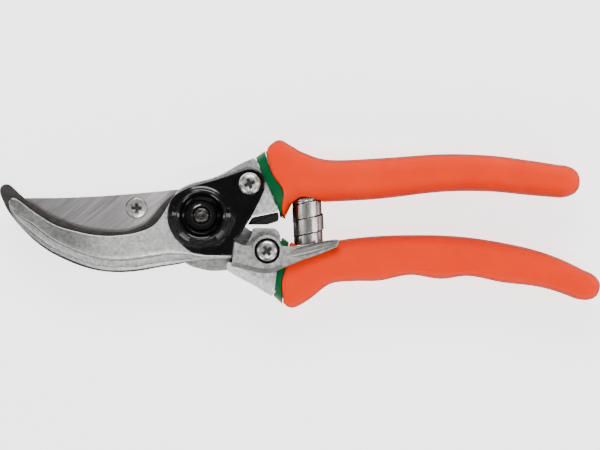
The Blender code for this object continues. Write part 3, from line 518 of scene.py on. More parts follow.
# %% [markdown]
# ### Rubber
# The bumper is moulded rubber: black, half dull, with the fine texture of its mould.

# %% Rubber
rubber = Finish("black_rubber", (0.004, 0.004, 0.004), 0.36)
rubber.shader.inputs["Specular IOR Level"].default_value = 0.25
rubber.roughness(rubber.noise(600, 3, 0.6), 0.34, 0.5)
rubber.bump(rubber.noise(1200, 3, 0.6), 0.3, 0.04)
rubber.report()

# %% [markdown]
# ### Green vinyl
# The handles are dipped twice in soft vinyl, first green and then orange. Dipping leaves a satin skin
# with a faint orange peel, slightly darker where the coat is thin. The sides are painted darker, as shade.

# %% Green vinyl
green = Finish("green_vinyl", (0.0002, 0.07, 0.018), 0.4)
green.shader.inputs["Specular IOR Level"].default_value = 0.1
# painted shade: the sides turn darker
green_sides_painted_shade = green.facing([(0.0, grey(0.3)), (0.6, grey(1.0))])
green.colour(green.noise(120, 3, 0.6), stops=[(0.3, (0.0001, 0.075, 0.02)), (0.7, (0.0001, 0.1, 0.028))],
             shaded_by=[green_sides_painted_shade])
green.roughness(green.noise(400, 3, 0.6), 0.3, 0.42)
green.bump(green.noise(900, 2, 0.5), 0.15, 0.03)
green.report()

# %% [markdown]
# ### Orange vinyl
# Orange is vivid because its red is nearly full and its blue nearly nothing. A glossy skin would wash it
# out, so the reflection is kept low, and the sides are painted darker in steps, as shade, where they turn
# away.

# %% Orange vinyl
orange = Finish("orange_vinyl", (1.0, 0.045, 0.002), 0.5)
orange.shader.inputs["Specular IOR Level"].default_value = 0.03
# painted shade: the sides darken in steps
orange_sides_painted_shade = orange.facing([(0.0, (0.16, 0.2, 0.2)), (0.3, (0.42, 0.5, 0.5)), (0.62, grey(0.9)),
                              (0.85, grey(1.0))])
orange.colour(orange.noise(60, 3, 0.55), stops=[(0.3, (0.93, 0.03, 0.0005)), (0.7, (1.0, 0.042, 0.001))],
              shaded_by=[orange_sides_painted_shade])
orange.roughness(orange.noise(500, 3, 0.6), 0.42, 0.56)
orange.bump(orange.noise(1100, 3, 0.55), 0.2, 0.03)
orange.report()

# %% [markdown]
# ## Outlines
# Most pieces are plates, so they start as an outline seen from above. A smooth run of the outline is a
# curve through a few points, a round end is an arc, and everything is then spaced evenly.

# %% Outline helpers
def arc(centre, radius, start, end, steps=24):
    """Points along an arc, from start to end in degrees."""
    turns = [math.radians(start + (end - start) * i / steps) for i in range(steps + 1)]
    return [(centre[0] + radius * math.cos(a), centre[1] + radius * math.sin(a)) for a in turns]


def curve(points, steps=10):
    """A Catmull-Rom curve through the points."""
    padded = [points[0], *points, points[-1]]
    made = []
    for before, here, after, beyond in zip(padded, padded[1:], padded[2:], padded[3:]):
        for i in range(steps):
            t = i / steps
            made.append(tuple(
                0.5 * (2 * h + (a - b) * t + (2 * b - 5 * h + 4 * a - y) * t * t
                       + (3 * h - b - 3 * a + y) * t ** 3)
                for b, h, a, y in zip(before, here, after, beyond)))
    made.append(tuple(points[-1]))
    return made


def even(points, spacing=0.45):
    """The closed outline as an array of evenly spaced points, anticlockwise."""
    loop = np.array(points, float)
    area = np.sum(loop[:, 0] * np.roll(loop[:, 1], -1) - np.roll(loop[:, 0], -1) * loop[:, 1])
    if area < 0:
        loop = loop[::-1]
    closed = np.vstack([loop, loop[:1]])
    lengths = np.concatenate([[0.0], np.cumsum(np.linalg.norm(np.diff(closed, axis=0), axis=1))])
    count = max(24, int(lengths[-1] / spacing))
    marks = np.linspace(0.0, lengths[-1], count, endpoint=False)
    return np.column_stack([np.interp(marks, lengths, closed[:, i]) for i in (0, 1)])


def softened(loop, passes):
    """Round the corners by averaging each point with its neighbours."""
    for _ in range(passes):
        loop = 0.5 * loop + 0.25 * (np.roll(loop, 1, axis=0) + np.roll(loop, -1, axis=0))
    return loop


quarter = arc((0, 0), 10.0, 0, 90)
print("a quarter circle of", len(quarter), "points becomes", len(even(quarter, 1.0)), "evenly spaced ones")

# %% [markdown]
# ### Edges that change along an outline
# Some edges are bevelled on one side only. Each point of an outline has a direction that leads inward,
# and a smooth step over that direction says how much of the bevel the point gets.

# %% Edge helpers
def inward(loop):
    """Unit vectors into the outline, one for each point."""
    along = np.roll(loop, -1, axis=0) - np.roll(loop, 1, axis=0)
    normals = np.column_stack([-along[:, 1], along[:, 0]])
    return normals / np.maximum(np.linalg.norm(normals, axis=1, keepdims=True), 1e-9)


def smoothstep(value, start, end):
    """0 before start, 1 after end, and smooth between."""
    share = np.clip((value - start) / (end - start), 0.0, 1.0)
    return share * share * (3 - 2 * share)


def at_height(loop, height):
    """The outline lifted to a height, or to one height for each point."""
    return np.column_stack([loop, np.zeros(len(loop)) + height])


print("halfway up a step:", smoothstep(0.5, 0.0, 1.0))

# %% [markdown]
# ## From mesh to piece
# Every mesh here is a stack of loops, each joined to the next by a ring of faces. A piece also needs a
# finish and tidy shading: weighted normals keep its flat top flat while the small steps of its edge
# shade as a round.

# %% Mesh helpers
def mesh_of(name, shaped):
    """The mesh of a finished bmesh, with its faces turned outward."""
    bmesh.ops.recalc_face_normals(shaped, faces=shaped.faces)
    mesh = bpy.data.meshes.new(name)
    shaped.to_mesh(mesh)
    shaped.free()
    return mesh


def mesh_from_loops(name, loops):
    """A closed mesh through loops of 3D points in millimetres, bottom first."""
    shaped = bmesh.new()
    rows = [[shaped.verts.new(Vector(point) * MM) for point in loop] for loop in loops]
    for row, following in zip(rows, rows[1:]):
        for i in range(len(row)):
            j = (i + 1) % len(row)
            shaped.faces.new((row[i], row[j], following[j], following[i]))
    shaped.faces.new(rows[0][::-1])
    shaped.faces.new(rows[-1])
    return mesh_of(name, shaped)


def new_piece(name, mesh, finish, smooth_angle=40.0, weighted=True):
    """A mesh as a piece with a finish and tidy shading."""
    made = linked(name, mesh)
    mesh.materials.clear()
    mesh.materials.append(finish.material)
    mesh.shade_smooth()
    mesh.set_sharp_from_angle(angle=math.radians(smooth_angle))
    if weighted:
        normals = made.modifiers.new("weighted_normals", "WEIGHTED_NORMAL")
        normals.keep_sharp = True
        normals.weight = 80
    return made


def stands_for(piece, body, *nodes):
    """The piece moves with a body and takes the place of its nodes."""
    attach(piece, body)
    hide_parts(*nodes)
    print(f"{piece.name}: {len(piece.data.polygons)} faces")


print("parts to stand for:", len(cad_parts))

# %% [markdown]
# ### Plates
# A plate's edge is never square: it is rounded, or chamfered towards one side. A bevel modifier would
# give every edge the same round, so the loops of the stack are drawn in one by one: each one is the outline
# moved inward by some width at some height.

# %% Plate helpers
def quarter_round(radius, steps=4):
    """(width drawn in, drop below the top) round a quarter circle, from the side to the top."""
    turns = [math.pi / 2 * i / steps for i in range(steps + 1)]
    return [(radius * (1 - math.cos(a)), radius * (1 - math.sin(a))) for a in turns]


def plate(name, loop, bottom, top, finish, edge=0.35, chamfer=None, back_edge=0.2):
    """A plate with rounded edges.

    chamfer is (share, profile): where share is 1 the edge follows profile, a list of (width, drop) as
    long as the plain round's, and where it is 0 it follows the plain round.
    """
    normals = inward(loop)
    plain = quarter_round(edge)
    share, profile = chamfer if chamfer else (np.zeros(len(loop)), plain)
    back = quarter_round(back_edge, 2)[::-1]
    loops = [at_height(loop + normals * width, bottom + drop) for width, drop in back]
    for (width, drop), (own_width, own_drop) in zip(plain, profile):
        widths = width + (own_width - width) * share
        drops = drop + (own_drop - drop) * share
        loops.append(at_height(loop + normals * widths[:, None], top - drops))
    return new_piece(name, mesh_from_loops(name, loops), finish)


print("a 0.35 mm round in steps:", [(round(w, 2), round(d, 2)) for w, d in quarter_round(0.35)])

# %% [markdown]
# ### Turned pieces and cuts
# Screws, rings and holes are turned on a lathe, so here a profile is spun about an upright axis. Without
# a finish it is a tool, which cuts a hole or joins on a boss by a boolean. The boolean is applied at
# once, so that its faces can take a finish of their own.

# %% Lathe helpers
def turned(name, profile, centre, finish=None, steps=96, smooth_angle=35.0):
    """A profile of (radius, height) from the top down its outer side, turned about an upright axis."""
    shaped = bmesh.new()
    rings = []
    for radius, height in profile:
        if radius < 1e-6:
            rings.append([shaped.verts.new(Vector((*centre, height)) * MM)])
            continue
        ring = arc(centre, radius, 0, 360, steps)[:-1]
        rings.append([shaped.verts.new(Vector((x, y, height)) * MM) for x, y in ring])
    if len(rings[0]) > 1:
        rings.append(rings[0])
    for upper, lower in zip(rings, rings[1:]):
        for i in range(steps):
            j = (i + 1) % steps
            corners = [side[k % len(side)] for side, k in ((upper, i), (lower, i), (lower, j), (upper, j))]
            shaped.faces.new(list(dict.fromkeys(corners)))
    mesh = mesh_of(name, shaped)
    return new_piece(name, mesh, finish, smooth_angle) if finish else linked(name, mesh)


def carve(piece, tool, operation="DIFFERENCE"):
    """Cut a tool's solid from a piece, or join it on, and remove the tool."""
    boolean = piece.modifiers.new(tool.name, "BOOLEAN")
    boolean.operation = operation
    boolean.object = tool
    boolean.solver = "EXACT"
    while piece.modifiers[0] != boolean:
        bpy.context.view_layer.objects.active = piece
        bpy.ops.object.modifier_move_up(modifier=boolean.name)
    with bpy.context.temp_override(object=piece, active_object=piece):
        bpy.ops.object.modifier_apply(modifier=boolean.name)
    bpy.data.objects.remove(tool)
    piece.data.set_sharp_from_angle(angle=math.radians(40))


def bore(piece, centre, radius, top, bottom, steps=96):
    """Cut a round hole between two heights."""
    profile = [(0, top), (radius, top), (radius, bottom), (0, bottom)]
    carve(piece, turned("bore", profile, centre, steps=steps))


def darken(piece, finish, inside):
    """Give the faces whose corners all pass the test another finish."""
    piece.data.materials.append(finish.material)
    number = len(piece.data.materials) - 1
    corners = [inside(vertex.co / MM) for vertex in piece.data.vertices]
    for face in piece.data.polygons:
        if all(corners[i] for i in face.vertices):
            face.material_index = number


trial = turned("trial_disc", [(0, 1), (5, 1), (5, 0), (0, 0)], (0, 0))
print("a turned disc has", len(trial.data.polygons), "faces")
bpy.data.objects.remove(trial)

# %% [markdown]
# ## The blade
# A flat ground plate. Its back shows above the hook. The cutting edge is hidden while the shears are
# shut, and its bevel is ground on the far side, so that the flat side passes along the counter blade.

# %% Blade
BLADE_BACK = [(-66.4, 4.4), (-64.6, 5.5), (-62.3, 6.05), (-49.7, 6.15), (-35.7, 6.75), (-21.7, 7.8),
              (-9.0, 9.1)]
BLADE_EDGE = [(-13.5, -4.0), (-20.0, -8.6), (-30.0, -10.6), (-42.0, -9.2), (-53.0, -4.8), (-61.5, 0.6),
              (-66.4, 4.4)]
PIVOT = (0.0, 0.0)
BLADE_HUB = 11.4
BLADE_SCREW = (-22.9, 2.55)
SHANK_BORE = 2.1
BLADE_PROFILE = ((3.0, 0.15, 0.0), (2.9, 0.0, 0.1), (0.05, 0.0, 2.3), (0.0, 0.0, 2.5), (0.05, 0.12, 2.6))
blade_loop = softened(even(curve(BLADE_BACK) + arc(PIVOT, BLADE_HUB, 128, -155, 60) + curve(BLADE_EDGE)), 3)
normals = inward(blade_loop)
cutting = smoothstep(normals[:, 1], 0.1, 0.5) * smoothstep(-blade_loop[:, 0], 13.0, 18.0)
blade_low, blade_high = low("blade"), high("blade")
loops = []
for bevel, plain, height in BLADE_PROFILE:
    widths = plain + (bevel - plain) * cutting
    loops.append(at_height(blade_loop + normals * widths[:, None], blade_low + height))
blade = new_piece("ground_blade", mesh_from_loops("ground_blade", loops), ground, 25)
sink = [(0, blade_high + 1), (3.9, blade_high + 1), (3.9, blade_high - 0.05), (3.7, blade_high - 0.25),
        (SHANK_BORE, blade_high - 2.1), (SHANK_BORE, blade_low - 1), (0, blade_low - 1)]
carve(blade, turned("sink", sink, BLADE_SCREW, steps=64))
stands_for(blade, "blade_side", "blade")

# %% [markdown]
# ## Cross recess
# All three screws have a cross recess. It is cut with a tapered cross: two crossed bars, narrower and
# shorter at the bottom, which leaves the sloping walls that catch the light. The recess is painted dark
# with the blackened steel, as painted shade.

# %% Cross recess
def cross_recess(screw, centre, reach, width, top, depth, turn):
    """Cut the two bars of a tapered cross into a screw's head, and paint shade in them."""
    for angle in (turn, turn + 90):
        spin = Matrix.Rotation(math.radians(angle), 4, "Z")
        ends = []
        for height, long_half, short_half in ((top - depth, reach * 0.6, width * 0.4),
                                              (top + 0.6, reach * 1.1, width * 0.55)):
            ends.append([spin @ Vector((x * long_half, y * short_half, 0.0)) + Vector((*centre, height))
                         for x, y in SQUARE])
        carve(screw, linked("cross_bar", mesh_from_loops("cross_bar", ends)))

    def in_recess(point):
        """True below the head's dome, within the cross."""
        out = math.dist(point.xy, centre)
        return out < reach * 1.2 and top - depth - 0.1 < point.z < top - 0.02 - 0.06 * out ** 2

    # painted shade: the recess takes the dark blackened steel
    darken(screw, smoked, in_recess)


print("a recess is cut with two bars, each of", len(SQUARE) * 2, "corners")

# %% [markdown]
# ## Blade screw
# It holds the blade to the lower handle, countersunk and flush so that the hook can pass over it.

# %% Blade screw
head = blade_high - 0.02
foot = low("blade_screw")
flush = [(0, head), (3.3, head), (3.5, head - 0.1), (3.52, head - 0.3), (1.8, head - 1.9), (1.8, foot),
         (0, foot)]
blade_screw = turned("countersunk_screw", flush, BLADE_SCREW, zinc)
cross_recess(blade_screw, BLADE_SCREW, 1.95, 1.15, head, 1.2, 0)
stands_for(blade_screw, "blade_side", "blade_screw")

# %% [markdown]
# ## Cover screw
# A domed pan head that clamps the cover plate. Its profile is a few points of a dome, turned.

# %% Cover screw
COVER_SCREW = (16.8, 10.95)
head = high("cover_screw")
foot = low("cover_screw")
seat = PLATE_HIGH + 0.05
pan = [(0, head), (1.0, head - 0.03), (2.0, head - 0.14), (2.9, head - 0.4), (3.5, head - 0.8),
       (3.82, head - 1.3), (3.9, head - 1.7), (3.85, seat), (2.0, seat), (2.0, foot), (0, foot)]
cover_screw = turned("pan_screw", pan, COVER_SCREW, zinc)
cross_recess(cover_screw, COVER_SCREW, 2.1, 1.3, head, 1.5, 20)
stands_for(cover_screw, "hook_side", "cover_screw")

# %% [markdown]
# ## Catch screw
# The catch turns on it, so its head is lower and sunk into the catch, where a thumb can't snag on it.

# %% Catch screw
CATCH_PIVOT = (22.9, -12.35)
SEAT_DEPTH = 1.4
head = high("catch_screw")
foot = low("catch_screw")
seat = CATCH_HIGH - SEAT_DEPTH + 0.05
sunk = [(0, head), (1.2, head - 0.02), (2.3, head - 0.12), (3.1, head - 0.35), (3.6, head - 0.75),
        (3.78, head - 1.1), (3.78, seat), (2.4, seat), (2.4, foot), (0, foot)]
catch_screw = turned("catch_pivot_screw", sunk, CATCH_PIVOT, zinc)
cross_recess(catch_screw, CATCH_PIVOT, 2.1, 1.35, head, 1.3, 35)
stands_for(catch_screw, "blade_side", "catch_screw")

# %% [markdown]
# ## The counter blade
# The dark plate behind the hook. It reaches about a millimetre and a half beyond the hook's inner edge,
# where it meets the blade, and a hair beyond the outer edge.

# %% Counter blade
INNER_EDGE = [(-68.9, 10.9), (-67.6, 10.9), (-66.2, 9.9), (-64.0, 7.8), (-61.2, 5.4), (-57.75, 3.2),
              (-53.5, 0.45), (-49.0, -1.65), (-43.4, -3.75), (-38.8, -4.8), (-32.2, -5.6), (-26.8, -5.45),
              (-23.1, -4.5), (-19.4, -2.6), (-16.9, -0.1), (-15.0, 2.4), (-13.1, 4.6), (-10.9, 6.5),
              (-8.9, 8.0)]
OUTER_EDGE = [(-68.9, 10.9), (-70.1, 10.1), (-70.65, 8.3), (-69.6, 5.3), (-67.9, 1.85), (-65.4, -1.65),
              (-62.3, -5.15), (-58.8, -8.6), (-54.2, -12.1), (-49.7, -14.6), (-42.7, -17.6), (-35.7, -19.4),
              (-28.7, -19.95), (-21.7, -19.4), (-14.7, -18.1), (-7.7, -17.0), (-2.0, -15.5)]
around_hub = arc(PIVOT, BLADE_HUB, 128, -95, 60)
plate_loop = softened(even(curve(INNER_EDGE) + around_hub + curve(OUTER_EDGE)[::-1]), 2)
counter = plate("counter_blade", plate_loop, low("hook_plate"), high("hook_plate"), smoked, edge=0.2)
stands_for(counter, "hook_side", "hook_plate")

# %% [markdown]
# ## The hook
# The upper handle is one forging, and its front runs on as the hook: a flat land along the inner edge, a
# crisp ridge, and a band that falls away to the outer edge with a second fine line near the rim. The band
# is a chamfer only where the edge faces away from the blade, so its share comes from the direction of the
# edge, and it narrows towards the pivot and at the tip. Everything below the flat top takes the darker
# rim finish, which is painted shade.

# %% Hook
ARM_INNER = [(-65.7, 6.15), (-64.6, 5.7), (-63.0, 4.6), (-59.5, 1.85), (-55.3, -0.95), (-51.8, -3.05),
             (-48.3, -4.45), (-43.0, -5.85), (-37.8, -6.9), (-32.2, -7.25), (-25.5, -6.7), (-22.0, -5.9),
             (-19.2, -4.95), (-16.4, -3.3), (-14.0, -0.5), (-12.1, 2.6), (-10.4, 5.5), (-7.7, 9.2)]
ARM_BROW = [(-7.7, 9.2), (-4.2, 10.95), (-0.7, 12.0), (2.8, 12.75), (6.3, 14.1), (9.8, 15.85), (13.3, 17.95),
            (18.45, 20.2)]
ARM_HUB = [(26.7, 2.3), (26.9, 1.5), (17.5, -0.45), (16.0, -2.6), (13.0, -7.6), (11.0, -9.0), (10.55, -14.8)]
ARM_OUTER = [(-65.7, 6.15), (-66.7, 5.7), (-67.1, 4.5), (-66.9, 2.7), (-66.3, 0.9), (-64.6, -2.0),
             (-61.6, -5.2), (-58.1, -8.25), (-53.6, -11.5), (-49.2, -13.8), (-42.4, -16.7), (-35.6, -18.7),
             (-28.7, -19.2), (-21.7, -18.7), (-14.6, -17.5), (-7.6, -16.5), (-4.2, -15.9), (2.8, -15.4),
             (10.55, -14.8)]
BAND_PROFILE = [(0.0, 1.5), (0.06, 1.3), (1.0, 1.08), (1.05, 1.28), (1.22, 1.28), (1.27, 1.0), (3.3, 0.45),
                (3.35, 0.72), (3.6, 0.72), (3.65, 0.14), (4.2, 0.06), (4.9, 0.01), (5.4, 0.0)]
ARM_EDGE = 0.36
arm_loop = softened(even(curve(ARM_INNER) + curve(ARM_BROW)[1:] + ARM_HUB + curve(ARM_OUTER)[::-1], 0.4), 3)
normals = inward(arm_loop)
falling = smoothstep(normals[:, 1], 0.05, 0.35) * smoothstep(-arm_loop[:, 0], -10.0, -4.0)
band = 1.0 - 0.75 * smoothstep(arm_loop[:, 0], -12.0, 3.0)
band *= 1.0 - 0.55 * smoothstep(-arm_loop[:, 0], 60.0, 67.0)
loops = [at_height(arm_loop + normals * 0.15, ARM_LOW), at_height(arm_loop, ARM_LOW + 0.15)]
for (wide, drop), (thin_width, thin_drop) in zip(BAND_PROFILE, quarter_round(ARM_EDGE, 12)):
    widths = thin_width + (wide * band - thin_width) * falling
    drops = thin_drop + (drop * (0.4 + 0.6 * band) - thin_drop) * falling
    drawn = arm_loop + normals * widths[:, None]
    if wide > 3:
        drawn = softened(drawn, 6)
    loops.append(at_height(drawn, ARM_HIGH - drops))
hook = new_piece("forged_hook", mesh_from_loops("forged_hook", loops), forged, 22)
NUT_SEAT = 5.4
BOLT_BORE = 4.3
nut_floor = ARM_LOW + 1.6
nut_seat = [(0, ARM_HIGH + 1), (NUT_SEAT, ARM_HIGH + 1), (NUT_SEAT, nut_floor), (BOLT_BORE, nut_floor),
            (BOLT_BORE, ARM_LOW - 1), (0, ARM_LOW - 1)]
carve(hook, turned("nut_seat", nut_seat, PIVOT, steps=64))
# painted shade: everything below the flat top takes the darker rim finish
darken(hook, rim_painted_shade, lambda point: point.z < ARM_HIGH - 0.1)
stands_for(hook, "hook_side", "hook_arm")

# %% [markdown]
# ## The cover plate
# A pressed plate, lacquered black, with a raised ring and a dished middle around the pivot. The dish is
# cut first. Then the ring is turned from a smooth profile and joined on, so that its inner slope is free
# to catch the light as one bright crescent.

# %% Cover plate
COVER_LEFT = [(12.0, 14.9), (8.5, 13.7), (4.95, 12.55), (0.05, 11.2), (-3.65, 10.0), (-6.6, 8.7), (-9.3, 7.0),
              (-11.0, 4.5), (-11.85, 0.15), (-11.5, -3.3), (-10.3, -6.25), (-8.6, -8.7), (-6.1, -11.15),
              (-3.65, -12.9), (-0.95, -13.6), (2.5, -14.0), (10.7, -14.1)]
COVER_RIGHT = [(10.75, -13.9), (11.1, -8.95), (13.05, -7.5), (16.0, -2.55), (17.5, -0.35), (20.25, 4.95),
               (22.1, 9.2)]
DISH_RADIUS = 8.0
cover_loop = even(arc(COVER_SCREW, 5.4, -16, 107) + curve(COVER_LEFT) + COVER_RIGHT, 0.35)
cover_loop = softened(cover_loop, 2)
COVER_LOW = low("cover_plate")
cover = plate("pressed_cover", cover_loop, COVER_LOW, PLATE_HIGH, lacquer, edge=0.5)
crest = high("cover_plate")
ring_top = [(5.4, PLATE_HIGH - 1.0), (5.8, PLATE_HIGH - 0.83), (6.2, PLATE_HIGH - 0.64),
            (6.6, PLATE_HIGH - 0.4), (7.0, PLATE_HIGH - 0.05), (7.4, PLATE_HIGH + 0.4), (7.8, crest - 0.22),
            (8.4, crest), (8.9, crest - 0.15), (9.5, PLATE_HIGH + 0.42), (10.2, PLATE_HIGH + 0.05),
            (10.4, PLATE_HIGH - 0.3)]
ring_profile = curve(ring_top, 5) + [(10.4, COVER_LOW + 0.1), (4.4, COVER_LOW + 0.1), (4.4, PLATE_HIGH - 1.1)]
bore(cover, PIVOT, DISH_RADIUS, PLATE_HIGH + 1, COVER_LOW - 1)
carve(cover, turned("ring", ring_profile[::-1], PIVOT), "UNION")
bore(cover, PIVOT, NUT_SEAT, PLATE_HIGH + 3, COVER_LOW - 1)
bore(cover, COVER_SCREW, 2.3, PLATE_HIGH + 1, COVER_LOW - 1, steps=48)
stands_for(cover, "hook_side", "cover_plate")

# %% [markdown]
# ## Nut
# A round nut sunk in the cover's dish, lacquered with it, so that it shows as a flat black ring around
# the bolt's end. It is one turned profile with soft edges.

# %% Nut
NUT_TOP = high("pivot_nut")
NUT_LOW = low("pivot_nut")
nut_profile = [(3.0, NUT_TOP - 0.35), (3.15, NUT_TOP - 0.1), (3.4, NUT_TOP), (5.0, NUT_TOP),
               (5.1, NUT_TOP - 0.1), (5.1, NUT_LOW), (3.0, NUT_LOW)]
nut = turned("dished_nut", nut_profile, PIVOT, lacquer)
stands_for(nut, "hook_side", "pivot_nut")

# %% [markdown]
# ## Bolt
# The bolt's threaded end stands in the nut, and its hexagon head shows at the back. The thread is a row
# of rings, since its slope can't be seen at this size. The head's corners are turned off as on a real
# bolt, by keeping only what a hexagon and a turned blank have in common.

# %% Bolt
STUD_TOP = high("pivot_bolt")
BOLT_LOW = low("pivot_bolt")
THREAD_RADIUS = 2.7
SHOULDER = STUD_TOP - 5.2
SHANK = 4.0
HEAD_RADIUS = 6.8
HEAD_TOP = BOLT_LOW + 1.7
THREAD_PITCH = 0.5
threads = []
for i in range(8):
    height = STUD_TOP - 0.9 - i * THREAD_PITCH
    threads += [(THREAD_RADIUS, height), (2.45, height - THREAD_PITCH / 2)]
stud = [(0, STUD_TOP - 0.15), (0.9, STUD_TOP - 0.12), (1.5, STUD_TOP), (2.1, STUD_TOP - 0.05),
        (2.5, STUD_TOP - 0.3), (THREAD_RADIUS, STUD_TOP - 0.6)]
shank = [(THREAD_RADIUS, SHOULDER), (SHANK, SHOULDER), (SHANK, HEAD_TOP - 0.5), (0, HEAD_TOP - 0.5)]
bolt = turned("pivot_bolt_turned", stud + threads + shank, PIVOT, sooty, steps=64)
corners = arc(PIVOT, HEAD_RADIUS, 90, 450, 6)[:-1]
faces = [[(*corner, height) for corner in corners] for height in (BOLT_LOW, HEAD_TOP)]
hexagon_head = linked("hexagon", mesh_from_loops("hexagon", faces))
blank = [(0, HEAD_TOP + 1), (7.2, HEAD_TOP + 1), (7.2, BOLT_LOW + 0.7), (5.9, BOLT_LOW), (0, BOLT_LOW)]
carve(hexagon_head, turned("turned_corners", blank, PIVOT, steps=64), "INTERSECT")
carve(bolt, hexagon_head, "UNION")
stands_for(bolt, "blade_side", "pivot_bolt")

# %% [markdown]
# ## Handle sections
# A handle is drawn as a row of sections. Each one is a rounded box standing on the line from the top
# of the outline to its bottom, so the same few lines give the tang, the green collar and the grip.
# Beside the sections there are four small moves: drawn in by a wall, moved on, between two, and finer.

# %% Section helpers
UPPER_FRONT = ((18.45, 20.2), (26.3, 3.0))
UPPER_SECTIONS = [
    ((22.2, 22.6), (28.5, -1.5)), ((24.5, 25.2), (30.0, 1.0)), ((27.4, 26.35), (31.2, 3.2)),
    ((31.2, 24.4), (33.6, 4.5)), ((36.0, 21.8), (37.5, 4.6)), ((44.8, 19.4), (44.8, 4.7)),
    ((62.3, 20.0), (62.3, 5.7)), ((83.3, 21.4), (83.3, 8.1)), ((100.0, 21.0), (100.0, 8.3)),
    ((114.0, 19.3), (114.0, 7.0)), ((125.0, 17.6), (125.0, 6.1))]
LOWER_FRONT = ((27.6, -7.7), (24.7, -28.5))
LOWER_SECTIONS = [
    ((30.7, -9.4), (28.4, -31.2)), ((32.6, -9.3), (32.0, -32.4)), ((36.0, -9.2), (37.8, -29.3)),
    ((44.8, -9.0), (44.8, -24.1)), ((53.0, -8.0), (53.0, -23.1)), ((62.3, -7.2), (62.3, -22.9)),
    ((72.8, -6.9), (72.8, -20.9)), ((83.3, -7.0), (83.3, -22.3)), ((94.0, -7.8), (93.4, -21.3)),
    ((106.5, -9.8), (105.0, -23.5)), ((117.5, -12.4), (115.5, -24.7)), ((126.0, -15.5), (123.0, -26.4)),
    ((133.6, -19.2), (130.6, -29.2))]


def drawn_in(section, wall):
    """The section with its top and bottom moved in by a wall."""
    top, bottom = Vector(section[0]), Vector(section[1])
    step = (bottom - top).normalized() * wall
    return (tuple(top + step), tuple(bottom - step))


def moved_on(section, distance):
    """The section moved along the handle."""
    top, bottom = Vector(section[0]), Vector(section[1])
    along = Vector((top.y - bottom.y, bottom.x - top.x)).normalized() * distance
    return (tuple(top + along), tuple(bottom + along))


def between(first, second, share):
    """A section part of the way from one to another."""
    return tuple(tuple(a + (b - a) * share for a, b in zip(p, q)) for p, q in zip(first, second))


def ring(section, depth, roundness, scale=1.0, bow=None, points=72):
    """A loop round a section.

    bow is a function of the share from top to bottom: how far the loop runs ahead along the handle.
    """
    top, bottom = (np.array(end) for end in section)
    middle, half = (top + bottom) / 2, (top - bottom) / 2
    along = np.array([half[1], -half[0]]) / np.hypot(*half)
    angles = np.linspace(0, 2 * math.pi, points, endpoint=False)
    across = np.sign(np.cos(angles)) * np.abs(np.cos(angles)) ** (2 / roundness)
    out = np.sign(np.sin(angles)) * np.abs(np.sin(angles)) ** (2 / roundness)
    place = middle + np.outer(across * scale, half)
    if bow:
        place = place + np.outer(bow((1 - across) / 2) * np.abs(out), along)
    return np.column_stack([place, GRIP_MIDDLE + depth / 2 * scale * out])


def fine(sections, steps=6):
    """More sections, on smooth curves through the given ones."""
    tops, bottoms = zip(*sections)
    return list(zip(curve(tops, steps), curve(bottoms, steps)))


print("sections:", len(UPPER_SECTIONS), "in the upper grip,", len(LOWER_SECTIONS), "in the lower one")

# %% [markdown]
# ## Tangs
# Inside each grip the metal runs on as a tang, which is what makes the handle stiff. The same few lines
# give the tang and, with a clearance, the cavity that holds it, so the two can't disagree.

# %% Tang helper
FRONT_WALL = 1.1
GRIP_WALL = 2.2
TANG_DEPTH = 12.0
TANG_SHARE = 0.86
TANG_CLEARANCE = 0.3


def tang(name, front, sections, clearance, lead):
    """The metal inside a grip, or with a clearance the cavity that holds it."""
    inner = [drawn_in(front, FRONT_WALL - clearance)]
    inner += [drawn_in(section, GRIP_WALL - clearance) for section in fine(sections, 2)]
    inner = [moved_on(inner[0], -lead)] + inner[:max(3, round(TANG_SHARE * len(inner)))]
    inner[-1] = moved_on(inner[-1], clearance)
    loops = [ring(section, TANG_DEPTH + 2 * clearance, 4.0, points=40) for section in inner]
    return linked(name, mesh_from_loops(name, loops))


print("tangs reach", TANG_SHARE, "of the way into the grips")

# %% [markdown]
# ## The upper handle
# Behind the hook the forging grows to nearly its full thickness. The step is an arc around the bolt,
# which lets the lower handle swing, and the tang goes on from there into the grip.

# %% Upper handle
REAR_LOW = low("blade_arm")
BLOCK_RADIUS = 19.9
face = moved_on(drawn_in(UPPER_FRONT, 0.5), -0.3)
brow = [(x, y - 0.5) for x, y in curve(ARM_BROW) if math.hypot(x, y) > BLOCK_RADIUS + 0.5 and x < 17.5]
brow_angle = math.degrees(math.atan2(brow[0][1], brow[0][0]))
block_loop = softened(even(arc(PIVOT, BLOCK_RADIUS, 4.0, brow_angle) + brow + list(face)), 2)
block = plate("arm_block", block_loop, REAR_LOW, ARM_HIGH - 0.3, forged, edge=0.3, back_edge=0.3)
carve(hook, block, "UNION")
carve(hook, tang("upper_tang", UPPER_FRONT, UPPER_SECTIONS, 0.0, 0.6), "UNION")
print("upper handle:", len(hook.data.polygons), "faces")

# %% [markdown]
# ## The boss
# The lower handle carries the catch on a blasted boss. The boss ends in an arc around the bolt, just
# outside the cover plate, so that the two slide past each other. Its outer edge is cut off by a broad
# chamfer, which is simplest to make with a wedge.

